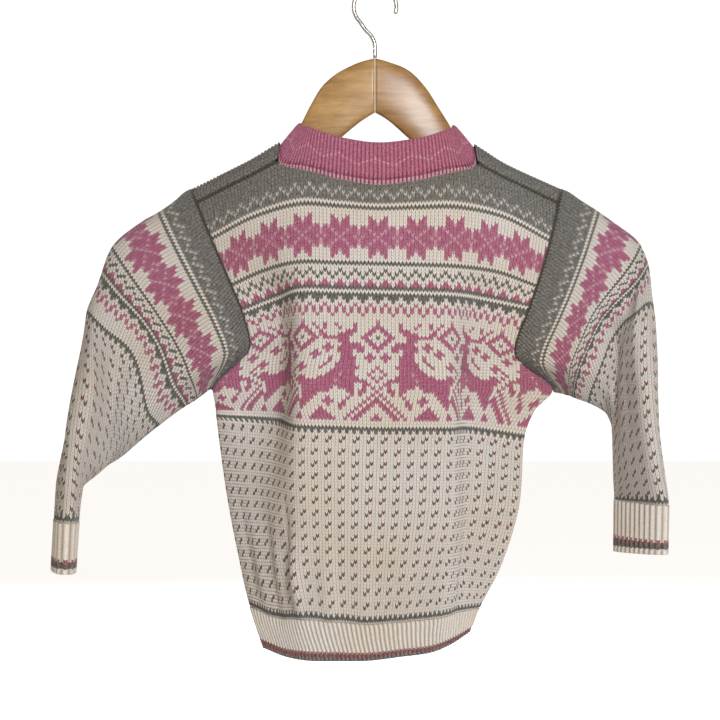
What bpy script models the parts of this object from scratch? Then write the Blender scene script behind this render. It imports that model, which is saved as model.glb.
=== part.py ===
"""A child's stranded-knit cardigan on a wooden hanger, as rigid cloth walls. Z is up and the origin is where
the hanger's hook rests. The back faces +Y. Tables are in millimetres. A row number counts the rows of stitches
down from the shoulder ridge, and a share counts from the middle (0) to the left (+1) or the right (-1) edge."""
import math

import bpy
import numpy as np

MM = 0.001
WALL = 2.5  # thickness of the knit
SEAM_GAP = 0.45  # between two pieces sewn together
SLEEVE_GAP, COLLAR_GAP, BUTTON_GAP = 0.7, 1.3, 0.45
RIB_HEIGHT = 0.9  # how far a rib stands out
RIDGE_ROWS = 4.0  # rows that bend over the shoulder ridge
SEAM_ROW = 4.8  # the shoulder seam, on the back, in rows from the ridge
UNDERARM_ROW = 71.0
SIDE_ROUND = 4.8  # how far back and front stand apart near the side folds
HEM_TOP_ROW, HEM_END_ROW = 144.0, 158.0
CUFF_TOP_ROW, CUFF_END_ROW = 108.0, 124.0
BAND_SHARE = 0.085  # half the front bands' width, as a share of a front

# row, then the left edge, left crease, left ridge, middle, right ridge, right crease and right edge
BODY_X = (
    (0, 165.9, 114.9, 65.7, -2.6, -70.1, -117.8, -167.8),
    (16, 147.2, 108.1, 65, -2.6, -70.3, -113.5, -157.2),
    (34, 128.2, 99.4, 67.5, -2.6, -69.2, -108.4, -144.5),
    (42, 118.5, 96.4, 69.1, -2.6, -67.4, -92.8, -137.5),
    (57, 111.8, 96.2, 70.8, -2.6, -64.8, -87, -125.4),
    (71, 146.9, 96, 70.8, -1.7, -64.8, -84.7, -165.3),
    (83.5, 143.6, 96.4, 69.9, -0.9, -64.8, -84.9, -134.7),
    (106, 135.2, 95.6, 69, 0.9, -64.7, -84.9, -130.9),
    (125, 125.2, 92.5, 67.3, 2.6, -62.1, -81, -115.5),
    (144, 112.6, 86.7, 63.2, 4.3, -54.6, -73.2, -94),
    (158, 99.7, 78.5, 58.2, 6, -47.8, -66, -84.3),
)
BODY_Z = (
    (0, -172, -155.2, -135.1, -148.3, -136, -156.7, -171.8),
    (16, -216.7, -199.6, -189.5, -195.1, -192.1, -198.9, -218.3),
    (34, -260.6, -249.5, -243.6, -245.6, -247.1, -250.2, -261.3),
    (42, -284.6, -272.8, -268, -269.7, -271.4, -272.8, -280.9),
    (57, -313.8, -308.7, -311.2, -312.2, -312.9, -313.3, -320),
    (71, -353, -345.9, -350.9, -352.7, -352.6, -351.4, -357.6),
    (83.5, -378.4, -381.9, -387.2, -389.7, -389.8, -389.8, -397.3),
    (106, -442.9, -444.2, -447.5, -449.2, -449.3, -449.7, -451.4),
    (125, -497.4, -496.8, -498.4, -499.9, -499.8, -500.9, -507.4),
    (144, -548.6, -555.3, -552.6, -555.9, -551.8, -550, -549.7),
    (158, -585.8, -589.7, -589.7, -588.3, -582.8, -578.6, -571.1),
)
BACK_Y = (
    (0, -24, -6, 5, 20, 5, -8, -25),
    (16, -17, 2, 18, 27, 18, 0, -19),
    (34, -15, 0, 21, 28, 21, -2, -17),
    (42, -16, -6, 23, 27, 22, -6, -18),
    (57, -20, -15, 24, 26, 23, -11, -22),
    (71, -38, -25, 24, 25, 23, -17, -40),
    (83.5, -38, -30, 24, 25, 23, -19, -34),
    (106, -40, -31, 25, 26, 24, -19, -32),
    (125, -40, -26, 25, 27, 24, -14, -32),
    (144, -30, -6, 20, 27, 20, -3, -28),
    (158, -26, -3, 16, 24, 16, 0, -24),
)
FRONT_Y = (
    (0, -43, -25, -16, -14, -16, -27, -44),
    (16, -48, -42, -42, -46, -42, -44, -50),
    (34, -50, -50, -56, -60, -56, -52, -52),
    (42, -52, -52, -62, -64, -62, -54, -54),
    (57, -56, -54, -68, -68, -68, -56, -58),
    (71, -38, -52, -72, -70, -72, -52, -40),
    (83.5, -38, -50, -74, -72, -74, -48, -34),
    (106, -40, -50, -74, -72, -74, -46, -32),
    (125, -40, -48, -72, -71, -72, -44, -32),
    (144, -30, -42, -58, -62, -58, -42, -28),
    (158, -26, -40, -54, -58, -54, -40, -24),
)
# row, stitches from the middle to the left edge, to the right edge
WIDTH_IN_STITCHES = (
    (0, 52, 53),
    (16, 49, 49),
    (34, 44, 47),
    (42, 43, 46),
    (57, 43, 44),
    (71, 54, 55),
    (83.5, 54, 52),
    (106, 54, 52),
    (125, 54, 52),
    (144, 54, 52),
    (158, 54, 52),
)
# row from the armhole, x y z of the upper fold, x y z of the lower fold, half the tube's thickness, and how much
# of the armhole's own form is left
SLEEVE_LEFT = (
    (0, 167.2, -34, -170.5, 146.9, -38, -353, 16, 1),
    (11, 192.8, -30, -190.9, 150.6, -39, -353.9, 20, 0.75),
    (19, 210.9, -30, -210.7, 154.4, -40, -356.6, 21, 0.5),
    (29, 236.6, -28, -228.9, 161.9, -42, -362.1, 20, 0.25),
    (40, 244.8, -24, -258.1, 176.6, -43, -371.2, 19, 0.05),
    (50, 253.1, -16, -288.1, 199.5, -44, -384, 19, 0),
    (66, 247, 6, -338.5, 238.9, -50, -410.6, 18, 0),
    (82, 251.2, 24, -395.8, 260, -46, -420.5, 16, 0),
    (97, 255.5, 36, -434.8, 275.6, -38, -442.8, 11.5, 0),
    (108, 261.9, 42, -467.6, 279.7, -36, -468, 10.5, 0),
    (124, 264.1, 40, -512.1, 283.4, -36, -513.3, 10, 0),
)
SLEEVE_RIGHT = (
    (0, -169.2, -35, -170.3, -165.3, -40, -357.6, 16, 1),
    (11, -200.4, -32, -190.6, -170.1, -42, -357.5, 20, 0.75),
    (19, -214.5, -30, -201.7, -174.8, -43, -358.4, 21, 0.5),
    (29, -238.9, -26, -223.8, -182.5, -46, -361.2, 20, 0.25),
    (40, -245, -20, -248.6, -198.6, -50, -366.7, 19, 0.05),
    (50, -245.7, -10, -280.5, -213.9, -54, -377.7, 18, 0),
    (66, -246.9, 2, -329.6, -223.8, -58, -403.5, 16, 0),
    (82, -248.4, 12, -378.7, -224.7, -58, -433, 13.5, 0),
    (97, -250.6, 18, -423.7, -222.4, -50, -445.4, 11, 0),
    (108, -252, 20, -453.9, -220.1, -42, -453, 9.5, 0),
    (124, -251.5, 18, -497.4, -219.7, -42, -500.3, 9.5, 0),
)

# share of the width, row where the piece ends; a row under zero lies on the back, past the shoulder ridge
BACK_TOP = ((0.0, 10.0), (0.25, 9.7), (0.38, 9.0), (0.5, 7.2), (0.56, SEAM_ROW), (1.0, SEAM_ROW))
FRONT_TOP = ((0.0, 29.0), (0.085, 28.0), (0.25, 25.0), (0.38, 18.5), (0.46, 11.5), (0.515, 4.5), (0.54, 0.0),
             (0.55, -2.6), (0.56, -SEAM_ROW + 0.17), (1.0, -SEAM_ROW + 0.17))

# gathers and creases: stitch column (+ is left), rows from and to, height out of the cloth, half width and
# lean in columns
BACK_FOLDS = (
    (9, 112, 146, -5.5, 3.2, -2.0),
    (15, 118, 146, 4.0, 3.0, -3.0),
    (21, 108, 146, -4.0, 3.0, -5.0),
    (27, 116, 147, 3.5, 2.6, -6.0),
    (33, 104, 146, -3.5, 3.0, -8.0),
    (2, 124, 146, 2.5, 3.0, 0.0),
    (-6, 126, 146, -2.0, 2.6, 1.5),
    (-13, 122, 146, 2.0, 3.0, 3.0),
    (-20, 116, 146, -2.5, 3.0, 5.0),
    (34, 30, 74, -3.0, 4.0, 4.0),
    (-37, 34, 78, -3.0, 4.0, -3.0),
    (44, 72, 130, -3.0, 3.5, -4.0),
    (-42, 78, 132, -2.5, 3.5, 4.0),
)
FRONT_FOLDS = (
    (12, 110, 146, -4.5, 3.2, -2.0),
    (20, 118, 146, 3.5, 3.0, -4.0),
    (29, 106, 146, -4.0, 3.0, -6.0),
    (-11, 116, 146, -4.0, 3.0, 2.0),
    (-19, 112, 146, 3.0, 3.0, 4.0),
    (-28, 104, 146, -4.0, 3.2, 6.0),
    (33, 30, 76, -3.0, 4.0, 5.0),
    (-35, 28, 72, -3.0, 4.0, -4.0),
)
# share round the tube (0 upper fold, 0.5 lower fold, first half seen from behind), rows from and to, height,
# half width
SLEEVE_FOLDS_LEFT = (
    (0.30, 16, 62, -4.0, 0.05),
    (0.40, 8, 44, 3.0, 0.035),
    (0.17, 44, 84, -2.0, 0.05),
    (0.66, 14, 58, -4.0, 0.05),
    (0.82, 40, 88, -1.8, 0.05),
)
SLEEVE_FOLDS_RIGHT = (
    (0.25, 10, 60, -6.0, 0.05),
    (0.37, 4, 46, 3.5, 0.04),
    (0.15, 50, 96, -2.5, 0.05),
    (0.64, 10, 52, -4.0, 0.05),
    (0.84, 36, 90, -3.0, 0.05),
)

HEM_RIBS, CUFF_RIBS, COLLAR_RIBS = 80, 24, 64
COLLAR_THICK = 3.6
# place round the neck (0 middle back, 1 shoulder ridge, 2 middle front), then how far the collar's fold stands
# in, back and up
COLLAR_RISE = (
    (0.0, 0.0, 2.0, 35.0),
    (0.31, 1.8, 1.5, 34.5),
    (0.46, 3.4, 1.0, 34.6),
    (0.61, 6.6, 1.0, 35.5),
    (0.76, 13.8, 0.5, 36.5),
    (0.9, 20.0, 0.0, 32.5),
    (1.08, 19.5, 0.0, 24.0),
    (1.45, 15.0, 3.0, 29.0),
    (2.0, 0.0, 8.0, 33.0),
)

BAND_THICK, BAND_OUT = 2.5, 1.3
BUTTON_ROWS = (34.0, 54.0, 74.0, 94.0, 114.0, 134.0, 152.0)
BUTTON_RADIUS, BUTTON_THICK = 6.5, 2.4

# x, top z, bottom z, y of the wooden arms from the middle joint to the tip, on the left and on the right
ARM_LEFT = (
    (0.2, -62.0, -110.5, 0.0),
    (13.5, -65.4, -119.0, -0.3),
    (33.4, -76.3, -135.5, -1.4),
    (46.6, -88.6, -146.0, -2.8),
    (56.0, -105.0, -153.0, -4.0),
    (63.5, -120.0, -159.0, -5.2),
    (72.0, -135.5, -166.0, -6.7),
    (84.0, -149.5, -174.0, -9.1),
    (104.0, -163.0, -184.5, -13.9),
    (128.0, -174.5, -194.0, -21.1),
    (148.0, -182.0, -199.5, -28.2),
    (156.0, -186.5, -198.0, -31.3),
)
ARM_RIGHT = (
    (-0.2, -62.0, -110.5, 0.0),
    (-11.0, -64.9, -117.0, -0.2),
    (-30.0, -73.8, -133.5, -1.2),
    (-44.9, -90.4, -146.5, -2.6),
    (-56.0, -108.5, -154.0, -4.0),
    (-67.0, -126.5, -162.0, -5.8),
    (-78.0, -143.5, -170.0, -7.8),
    (-92.0, -156.5, -178.5, -10.9),
    (-112.0, -167.0, -187.5, -16.1),
    (-134.0, -177.5, -196.0, -23.1),
    (-150.0, -184.0, -200.5, -28.9),
    (-158.0, -188.5, -199.0, -32.1),
)
ARM_HALF_THICK = 6.0
WIRE_RADIUS = 1.75
CROOK_RADIUS = 18.75  # to the middle of the wire; its inside top is the origin

COLOURS = {
    "cream": (0.80, 0.77, 0.70),
    "pink": (0.52, 0.14, 0.28),
    "grey": (0.30, 0.30, 0.29),
    "wood": (0.66, 0.44, 0.22),
    "steel": (0.60, 0.60, 0.60),
}

# where the panels' and sleeves' points lie: shares across, rows from the shoulder to the underarm, rows below it
BACK_SHARES = [0.0, 0.12, 0.24, 0.36, 0.43, 0.50, 0.57, 0.64, 0.71, 0.78, 0.86, 0.93, 0.97, 1.0]
BACK_ROWS = [SEAM_ROW, 11, 18, 26, 34, 42, 49, 55, 61, 66, UNDERARM_ROW]
FRONT_SHARES = [BAND_SHARE + 0.003, 0.18, 0.28, 0.37, 0.43, 0.49, 0.53, 0.55, 0.57, 0.63, 0.71, 0.79, 0.87,
                0.94, 0.975, 1.0]
FRONT_ROWS = [-SEAM_ROW + 0.17, -3.0, -1.4, 0, 1.4, 3.2, 6.5, 11, 18, 26, 34, 42, 49, 55, 61, 66,
              UNDERARM_ROW]
LOWER_ROWS = [74, 78, 83, 91, 101, 111, 119, 126, 132, 138, HEM_TOP_ROW - 0.06]
SLEEVE_ROWS = [0, 5, 11, 17, 23, 29, 36, 43, 50, 58, 66, 74, 82, 90, 99, CUFF_TOP_ROW - 0.15]
SLEEVE_SIDES = 28
CUFF_ROWS = [CUFF_TOP_ROW + 0.15, 116, CUFF_END_ROW]


# ---- tables and curves

def steady(rows, table):
    """The table's columns at these rows, by a cubic that never swings past the table's own values."""
    table = np.asarray(table, float)
    xs, ys = table[:, 0], table[:, 1:]
    gap = np.diff(xs)[:, None]
    rise = np.diff(ys, axis=0) / gap
    slope = np.empty_like(ys)
    slope[0], slope[-1] = rise[0], rise[-1]
    same = rise[1:] * rise[:-1] > 0
    safe_a, safe_b = np.where(same, rise[:-1], 1.0), np.where(same, rise[1:], 1.0)
    wa, wb = 2 * gap[1:] + gap[:-1], gap[1:] + 2 * gap[:-1]
    slope[1:-1] = np.where(same, (wa + wb) / (wa / safe_a + wb / safe_b), 0.0)
    rows = np.atleast_1d(np.asarray(rows, float))
    i = np.clip(np.searchsorted(xs, rows) - 1, 0, len(xs) - 2)
    t = ((rows - xs[i]) / gap[i, 0])[:, None]
    h = gap[i]
    return (ys[i] * (2 * t**3 - 3 * t**2 + 1) + slope[i] * h * (t**3 - 2 * t**2 + t)
            + ys[i + 1] * (3 * t**2 - 2 * t**3) + slope[i + 1] * h * (t**3 - t**2))


def ramp(x, start, end):
    t = np.clip((np.asarray(x, float) - start) / (end - start), 0.0, 1.0)
    return t * t * (3 - 2 * t)


def along(points, shares):
    """Places on a polyline at these shares of its length."""
    length = np.concatenate([[0.0], np.cumsum(np.linalg.norm(np.diff(points, axis=0), axis=1))])
    at = np.asarray(shares) * length[-1]
    return np.stack([np.interp(at, length, points[:, k]) for k in range(3)], axis=1)


def unit(vectors):
    return vectors / np.maximum(np.linalg.norm(vectors, axis=-1, keepdims=True), 1e-9)


def curve_through(places, per_span=8):
    """A smooth curve through the middle ones of these places, which are n by 3 or rows by n by 3. The first and
    last place only steer it. Long and short spans don't make it overshoot."""
    places = np.asarray(places, float)
    out = []
    for k in range(places.shape[-2] - 3):
        a, b, c, d = (places[..., k + m, :][..., None, :] for m in range(4))
        ab, bc, cd = (np.sqrt(np.linalg.norm(q - p, axis=-1, keepdims=True)) + 1e-6
                      for p, q in ((a, b), (b, c), (c, d)))
        t0, t1, t2, t3 = 0.0 * ab, ab, ab + bc, ab + bc + cd
        t = t1 + bc * np.linspace(0, 1, per_span, endpoint=False)[:, None]
        ab_line = ((t1 - t) * a + (t - t0) * b) / (t1 - t0)
        bc_line = ((t2 - t) * b + (t - t1) * c) / (t2 - t1)
        cd_line = ((t3 - t) * c + (t - t2) * d) / (t3 - t2)
        first = ((t2 - t) * ab_line + (t - t0) * bc_line) / (t2 - t0)
        second = ((t3 - t) * bc_line + (t - t1) * cd_line) / (t3 - t1)
        out.append(((t2 - t) * first + (t - t1) * second) / (t2 - t1))
    out.append(places[..., -2:-1, :])
    return np.concatenate(out, axis=-2)


# ---- the body's cloth

def side_closing(rows):
    return ramp(rows, UNDERARM_ROW - 12, UNDERARM_ROW)


def controls(rows, face):
    """The seven named places of each row, from the left edge to the right edge, on the back or the front."""
    back, front = steady(rows, BACK_Y), steady(rows, FRONT_Y)
    own = back if face == "back" else front
    over = np.sqrt(1 - (1 - np.clip(rows / RIDGE_ROWS, 0, 1)) ** 2)[:, None]
    y = (back + front) / 2 + (own - (back + front) / 2) * over
    for edge in (0, 6):  # back and front meet in one line below the underarm
        y[:, edge] += ((back + front)[:, edge] / 2 - y[:, edge]) * side_closing(rows)
    return np.stack([steady(rows, BODY_X), y, steady(rows, BODY_Z)], axis=2)


def cloth_field(face):
    """Places of the smooth cloth on a fine grid: FIELD_ROWS down, FIELD_SHARES from the right to the left edge."""
    own = controls(FIELD_ROWS, face)
    sign = 1.0 if face == "back" else -1.0
    closing = side_closing(FIELD_ROWS)[:, None]
    ends = []
    for edge, crease in ((own[:, 0], own[:, 1]), (own[:, 6], own[:, 5])):
        inward = 5.0 * unit(crease - edge)
        flat = inward * [1.0, 0.0, 1.0]
        turned = np.array([0.0, SIDE_ROUND * sign, 0.0])
        corner = edge + inward * (1 - closing) + (flat + turned) * closing
        beyond = edge - inward * (1 - closing) + (flat - turned) * closing
        ends.append((beyond, edge, corner))
    fill = np.array([0.0, 1.5 * sign, 0.0])
    places = [*ends[0], own[:, 1], own[:, 2], (own[:, 2] + own[:, 3]) / 2 + fill, own[:, 3],
              (own[:, 3] + own[:, 4]) / 2 + fill, own[:, 4], own[:, 5], *ends[1][::-1]]
    curves = curve_through(np.stack(places, axis=1))
    middle = 5 * 8
    half = FIELD_SHARES[FIELD_SHARES >= 0]
    lines = []
    for curve in curves:
        left, right = along(curve[middle::-1], half), along(curve[middle:], half)
        lines.append(np.concatenate([right[:0:-1], left]))
    return np.array(lines)


FIELD_ROWS = np.concatenate([[0, 0.04, 0.1, 0.2, 0.35, 0.55, 0.8], np.arange(1.1, 4, 0.3),
                             np.arange(4, 158.6, 0.5)])
FIELD_SHARES = np.linspace(-1, 1, 241)
FIELD = {face: cloth_field(face) for face in ("back", "front")}


def smooth_cloth(rows, shares, face):
    field = FIELD[face]
    i = np.clip(np.searchsorted(FIELD_ROWS, rows) - 1, 0, len(FIELD_ROWS) - 2)
    u = np.clip((rows - FIELD_ROWS[i]) / (FIELD_ROWS[i + 1] - FIELD_ROWS[i]), 0, 1)[..., None]
    place = (shares + 1) / 2 * (len(FIELD_SHARES) - 1)
    j = np.clip(place.astype(int), 0, len(FIELD_SHARES) - 2)
    v = (place - j)[..., None]
    upper = field[i, j] * (1 - v) + field[i, j + 1] * v
    lower = field[i + 1, j] * (1 - v) + field[i + 1, j + 1] * v
    return upper * (1 - u) + lower * u


def outward(rows, shares, face):
    across = (smooth_cloth(rows, np.clip(shares + 0.012, -1, 1), face)
              - smooth_cloth(rows, np.clip(shares - 0.012, -1, 1), face))
    down = smooth_cloth(rows + 0.5, shares, face) - smooth_cloth(np.maximum(rows - 0.5, 0), shares, face)
    return unit(np.cross(across, down)) * (1 if face == "back" else -1)


def fold_height(rows, shares, folds):
    to_left, to_right = (width.reshape(shares.shape) for width in steady(rows.ravel(), WIDTH_IN_STITCHES).T)
    column = shares * np.where(shares >= 0, to_left, to_right)
    height = np.zeros_like(column)
    for place, first, last, out, half, lean in folds:
        t = np.clip((rows - first) / (last - first), 0, 1)
        height += out * np.sin(math.pi * t**1.3) * np.exp(-((column - place + lean * (t - 1)) / half) ** 2)
    return height * ramp(1 - np.abs(shares), 0, 0.08)


def cloth(rows, shares, face):
    """Outer places of the body's cloth, with its gathers. A front's row under zero lies on the back."""
    rows, shares = np.broadcast_arrays(np.asarray(rows, float), np.asarray(shares, float))
    if face == "front" and (rows < 0).any():
        behind = cloth(np.maximum(-rows, 0), shares, "back")
        return np.where((rows < 0)[..., None], behind, cloth(np.maximum(rows, 0), shares, "front"))
    height = fold_height(rows, shares, BACK_FOLDS if face == "back" else FRONT_FOLDS)
    return smooth_cloth(rows, shares, face) + outward(rows, shares, face) * height[..., None]


# ---- solids

def add_solid(name, points, faces, colour):
    points = np.asarray(points, float).reshape(-1, 3)
    volume = sum(np.dot(points[f[0]], np.cross(points[f[m]], points[f[m + 1]]))
                 for f in faces for m in range(1, len(f) - 1))
    if volume < 0:
        faces = [f[::-1] for f in faces]
    mesh = bpy.data.meshes.new(name)
    mesh.from_pydata([tuple(p) for p in points * MM], [], [tuple(f) for f in faces])
    mesh.update()
    obj = bpy.data.objects.new(name, mesh)
    bpy.context.scene.collection.objects.link(obj)
    material = bpy.data.materials.new(name)
    material.use_nodes = True
    shader = material.node_tree.nodes["Principled BSDF"]
    shader.inputs["Base Color"].default_value = (*COLOURS[colour], 1)
    shader.inputs["Roughness"].default_value = 0.3 if colour == "steel" else 0.85
    shader.inputs["Metallic"].default_value = 1.0 if colour == "steel" else 0.0
    mesh.materials.append(material)


def grid_faces(rows, columns, closed, start=0, flip=False):
    faces = []
    for i in range(rows - 1):
        for j in range(columns if closed else columns - 1):
            k = (j + 1) % columns
            upper, lower = start + i * columns, start + (i + 1) * columns
            face = [upper + j, upper + k, lower + k, lower + j]
            faces.append(face[::-1] if flip else face)
    return faces


def add_rod(name, rings, colour):
    """A solid through closed rings of points, capped at both ends."""
    count, sides = len(rings), len(rings[0])
    faces = grid_faces(count, sides, True)
    faces += [list(range(sides))[::-1], [(count - 1) * sides + j for j in range(sides)]]
    add_solid(name, rings, faces, colour)


def add_wall(name, outer, inner, colour, closed=False):
    """A wall between two grids of places of one size, with its rims."""
    rows, columns = outer.shape[:2]
    count = rows * columns
    faces = grid_faces(rows, columns, closed) + grid_faces(rows, columns, closed, count, True)
    top = list(range(columns)) + ([0] if closed else [])
    rims = [(top, False), ([(rows - 1) * columns + j for j in top], True)]
    if not closed:
        rims += [([i * columns for i in range(rows)], True),
                 ([i * columns + columns - 1 for i in range(rows)], False)]
    for line, turned in rims:
        for a, b in zip(line, line[1:]):
            face = [a, a + count, b + count, b]
            faces.append(face[::-1] if turned else face)
    add_solid(name, np.concatenate([outer.reshape(-1, 3), inner.reshape(-1, 3)]), faces, colour)


def grid_normals(grid, closed, toward):
    """Normals of a grid of places. toward(normals) is over zero where they point out."""
    across = np.roll(grid, -1, axis=1) - np.roll(grid, 1, axis=1) if closed else np.gradient(grid, axis=1)
    normals = unit(np.cross(np.gradient(grid, axis=0), across))
    return normals if toward(normals) > 0 else -normals


def body_panel(name, face, shares, top_rows, upper):
    """A body panel. Its side rims turn sideways below the underarm, so that back and front meet there."""
    sign = 1 if face == "back" else -1
    shares = np.asarray(shares, float)
    tops = np.interp(np.abs(shares), *np.transpose(top_rows))
    upper = np.asarray(upper, float)[:, None]
    spread = tops + (UNDERARM_ROW - tops) * (upper - upper[0]) / (upper[-1] - upper[0])
    level = np.maximum(upper, tops + 0.3 * np.arange(len(upper))[:, None])
    at_shoulder = ramp(np.abs(shares), 0.49, 0.54)
    lower = np.repeat(np.array(LOWER_ROWS)[:, None], len(shares), axis=1)
    rows = np.concatenate([spread * (1 - at_shoulder) + level * at_shoulder, lower])
    shares = np.broadcast_to(shares, rows.shape)
    grid = cloth(rows, shares, face)
    normals = grid_normals(grid, False, lambda n: sign * n[len(rows) // 2, :, 1].mean())
    turn = ramp(rows, UNDERARM_ROW - 2.5, UNDERARM_ROW)[..., None] * (np.abs(shares) > 0.999)[..., None]
    side = np.stack([np.sign(shares), 0 * shares, 0 * shares], axis=2)
    normals = unit(normals * (1 - turn) + side * turn)
    normals[-1] = unit(normals[-1] * [1, 1, 0])
    grid = grid + np.array([0.0, sign * SEAM_GAP / 2, 0.0]) * turn
    add_wall(name, grid, grid - normals * WALL, "cream")


# ---- the sleeves

def armhole(side, step=0.0):
    """The armhole on the back and on the front, from the shoulder tip to the underarm, at the panels' own points."""
    front = np.array([row for row in FRONT_ROWS if row >= 0])
    back = np.concatenate([[row for row in front if row < SEAM_ROW], BACK_ROWS])
    return [smooth_cloth(rows, np.full(len(rows), side * (1.0 - step)), face)
            for rows, face in ((back, "back"), (front, "front"))]


def halves(near, far, shares):
    """A ring of a back half and a front half, at shares of its length: 0 at the upper fold, 0.5 at the lower."""
    first, second = along(near, np.clip(shares * 2, 0, 1)), along(far, np.clip(2 - shares * 2, 0, 1))
    return np.where((shares <= 0.5)[:, None], first, second)


def sleeve_ring(row, table, side, shares):
    """A flattened ring through the sleeve's two folds."""
    before, here, after = (steady(max(at, 0), table)[0] for at in (row - 3, row, row + 3))
    axis = unit((after[0:3] + after[3:6]) - (before[0:3] + before[3:6]))
    toward = unit(np.cross(here[0:3] - here[3:6], axis)) * side * here[6]
    centre, reach = (here[0:3] + here[3:6]) / 2, (here[0:3] - here[3:6]) / 2
    angle = np.linspace(0, math.pi, 49)[:, None]
    x = np.sign(np.cos(angle)) * np.abs(np.cos(angle)) ** 0.8
    y = np.abs(np.sin(angle)) ** 0.8
    return halves(centre + reach * x + toward * y, centre + reach * x - toward * y, shares)


def sleeve_grid(table, side, rows, shares, folds):
    """Places and outward normals of a sleeve's cloth, rows down the sleeve and shares round it."""
    table, rows, shares = np.asarray(table, float), np.asarray(rows, float), np.asarray(shares, float)
    edge = halves(*armhole(side), shares)
    own = edge - sleeve_ring(0.0, table, side, shares)
    grid = np.array([sleeve_ring(row, table, side, shares) + own * steady(row, table)[0, 7] for row in rows])
    if rows[0] == 0:
        ahead = sleeve_ring(6.0, table, side, shares) + own * steady(6.0, table)[0, 7]
        away = unit(unit(ahead - edge) + unit(edge - halves(*armhole(side, 0.02), shares)))
        at_underarm = np.exp(-((shares - 0.5) / 0.12) ** 2)[:, None]
        grid[0] += away * SLEEVE_GAP * (1 + at_underarm)
    centre = grid.mean(axis=1, keepdims=True)
    normals = grid_normals(grid, True, lambda n: np.sum(n * (grid - centre), axis=2).mean())
    height = np.zeros((len(rows), len(shares)))
    for place, first, last, out, half in folds:
        t = np.clip((rows - first) / (last - first), 0, 1)
        gap = np.abs(shares - place)
        across = np.exp(-(np.minimum(gap, 1 - gap) / half) ** 2)
        height += out * (np.sin(math.pi * t) ** 1.2)[:, None] * across[None, :]
    grid = grid + normals * height[:, :, None]
    normals = grid_normals(grid, True, lambda n: np.sum(n * (grid - centre), axis=2).mean())
    if rows[0] == 0:  # the seam end of the wall follows the body's wall
        inside = halves(*armhole(side, 0.02), shares)
        tangent = unit(np.roll(edge, -1, axis=0) - np.roll(edge, 1, axis=0))
        seam = unit(np.cross(tangent, edge - inside))
        seam *= np.sign(np.sum(seam * normals[0], axis=1))[:, None]
        normals[0] = unit(seam + normals[0] * 0.3)
    return grid, normals


# ---- the hem rib, the collar and the bands

def loop_places(row, shares_of_loop):
    """Places round the whole body, from the left front band round the back to the right front band."""
    half = np.linspace(BAND_SHARE + 0.003, 1, 40)
    left, back, right = (cloth(row, shares, face) for shares, face in
                         ((half, "front"), (np.linspace(1, -1, 90), "back"), (-half[::-1], "front")))
    return along(np.concatenate([left, back[1:-1], right]), shares_of_loop)


def hem_rib():
    count = HEM_RIBS * 2 + 1
    rows = (HEM_TOP_ROW + 0.14, (HEM_TOP_ROW + HEM_END_ROW) / 2, HEM_END_ROW)
    grid = np.array([loop_places(row, np.linspace(0, 1, count)) for row in rows])
    normals = grid_normals(grid, False, lambda n: n[1, count // 2, 1])
    normals[0] = unit(normals[0] * [1, 1, 0])
    ribs = RIB_HEIGHT * (np.arange(count) % 2 == 1)
    add_wall("hem_rib", grid + normals * ribs[None, :, None], grid - normals * WALL, "cream")


def neck_line(side):
    """The neck edge from the middle of the back over the ridge to the middle of the front, on the outer side."""
    over_back = np.linspace(0, 0.55, 22)
    over_ridge = np.linspace(-SEAM_ROW + 0.8, 0, 6)
    over_front = np.linspace(0.53, 0.002, 26)
    return np.concatenate([
        cloth(np.interp(over_back, *np.transpose(BACK_TOP)), over_back * side, "back"),
        cloth(over_ridge, side * np.interp(over_ridge, [-SEAM_ROW, 0], [0.556, 0.54]), "front"),
        cloth(np.interp(over_front, *np.transpose(FRONT_TOP)), over_front * side, "front")])


def collar():
    left, right = neck_line(1), neck_line(-1)
    line = np.concatenate([left[::-1], right[1:]])
    round_half = np.interp(np.arange(len(left)), [0, 24, len(left) - 1], [0, 1, 2])
    round_all = np.concatenate([-round_half[::-1], round_half[1:]])
    length = np.concatenate([[0.0], np.cumsum(np.linalg.norm(np.diff(line, axis=0), axis=1))])
    count = COLLAR_RIBS * 2 + 1
    at = np.linspace(0, 1, count) * length[-1]
    base = np.stack([np.interp(at, length, line[:, k]) for k in range(3)], axis=1)
    place = np.interp(at, length, round_all)
    rise = steady(np.abs(place), COLLAR_RISE)
    lift = np.stack([rise[:, 0] * np.sign(place), rise[:, 1], rise[:, 2]], axis=1)
    for _ in range(4):  # evens out the small corners of the neck edge
        base[1:-1] = (base[:-2] + 2 * base[1:-1] + base[2:]) / 4
    out = unit(np.cross(unit(np.gradient(base, axis=0)), lift))
    out *= np.sign(np.sum(out * (base - base.mean(axis=0)), axis=1).mean())
    half = COLLAR_THICK / 2
    start = base + unit(lift) * COLLAR_GAP - out * (half - 1.0)
    ribs = RIB_HEIGHT * 0.7 * (np.arange(count) % 2 == 1)
    outer, inner = [], []
    for height, full in ((0.0, 1.0), (0.45, 1.08), (0.88, 0.95), (1.0, 0.4)):
        level = start + lift * height
        outer.append(level + out * (half * full + ribs * full)[:, None])
        inner.append(level - out * half * full)
    add_wall("collar", np.array(outer), np.array(inner), "pink")


def front_level(rows, shares, out):
    """Places over the front's outer side."""
    rows, shares = np.meshgrid(rows, shares, indexing="ij")
    return cloth(rows, shares, "front") + outward(rows, shares, "front") * out


def band(name, low, high, out):
    rows = [28.9] + [row + step for row in BUTTON_ROWS for step in (-2.4, 2.4)] + [HEM_END_ROW]
    shares = np.linspace(low, high, 3)
    add_wall(name, front_level(rows, shares, out), front_level(rows, shares, out - BAND_THICK), "pink")


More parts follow.
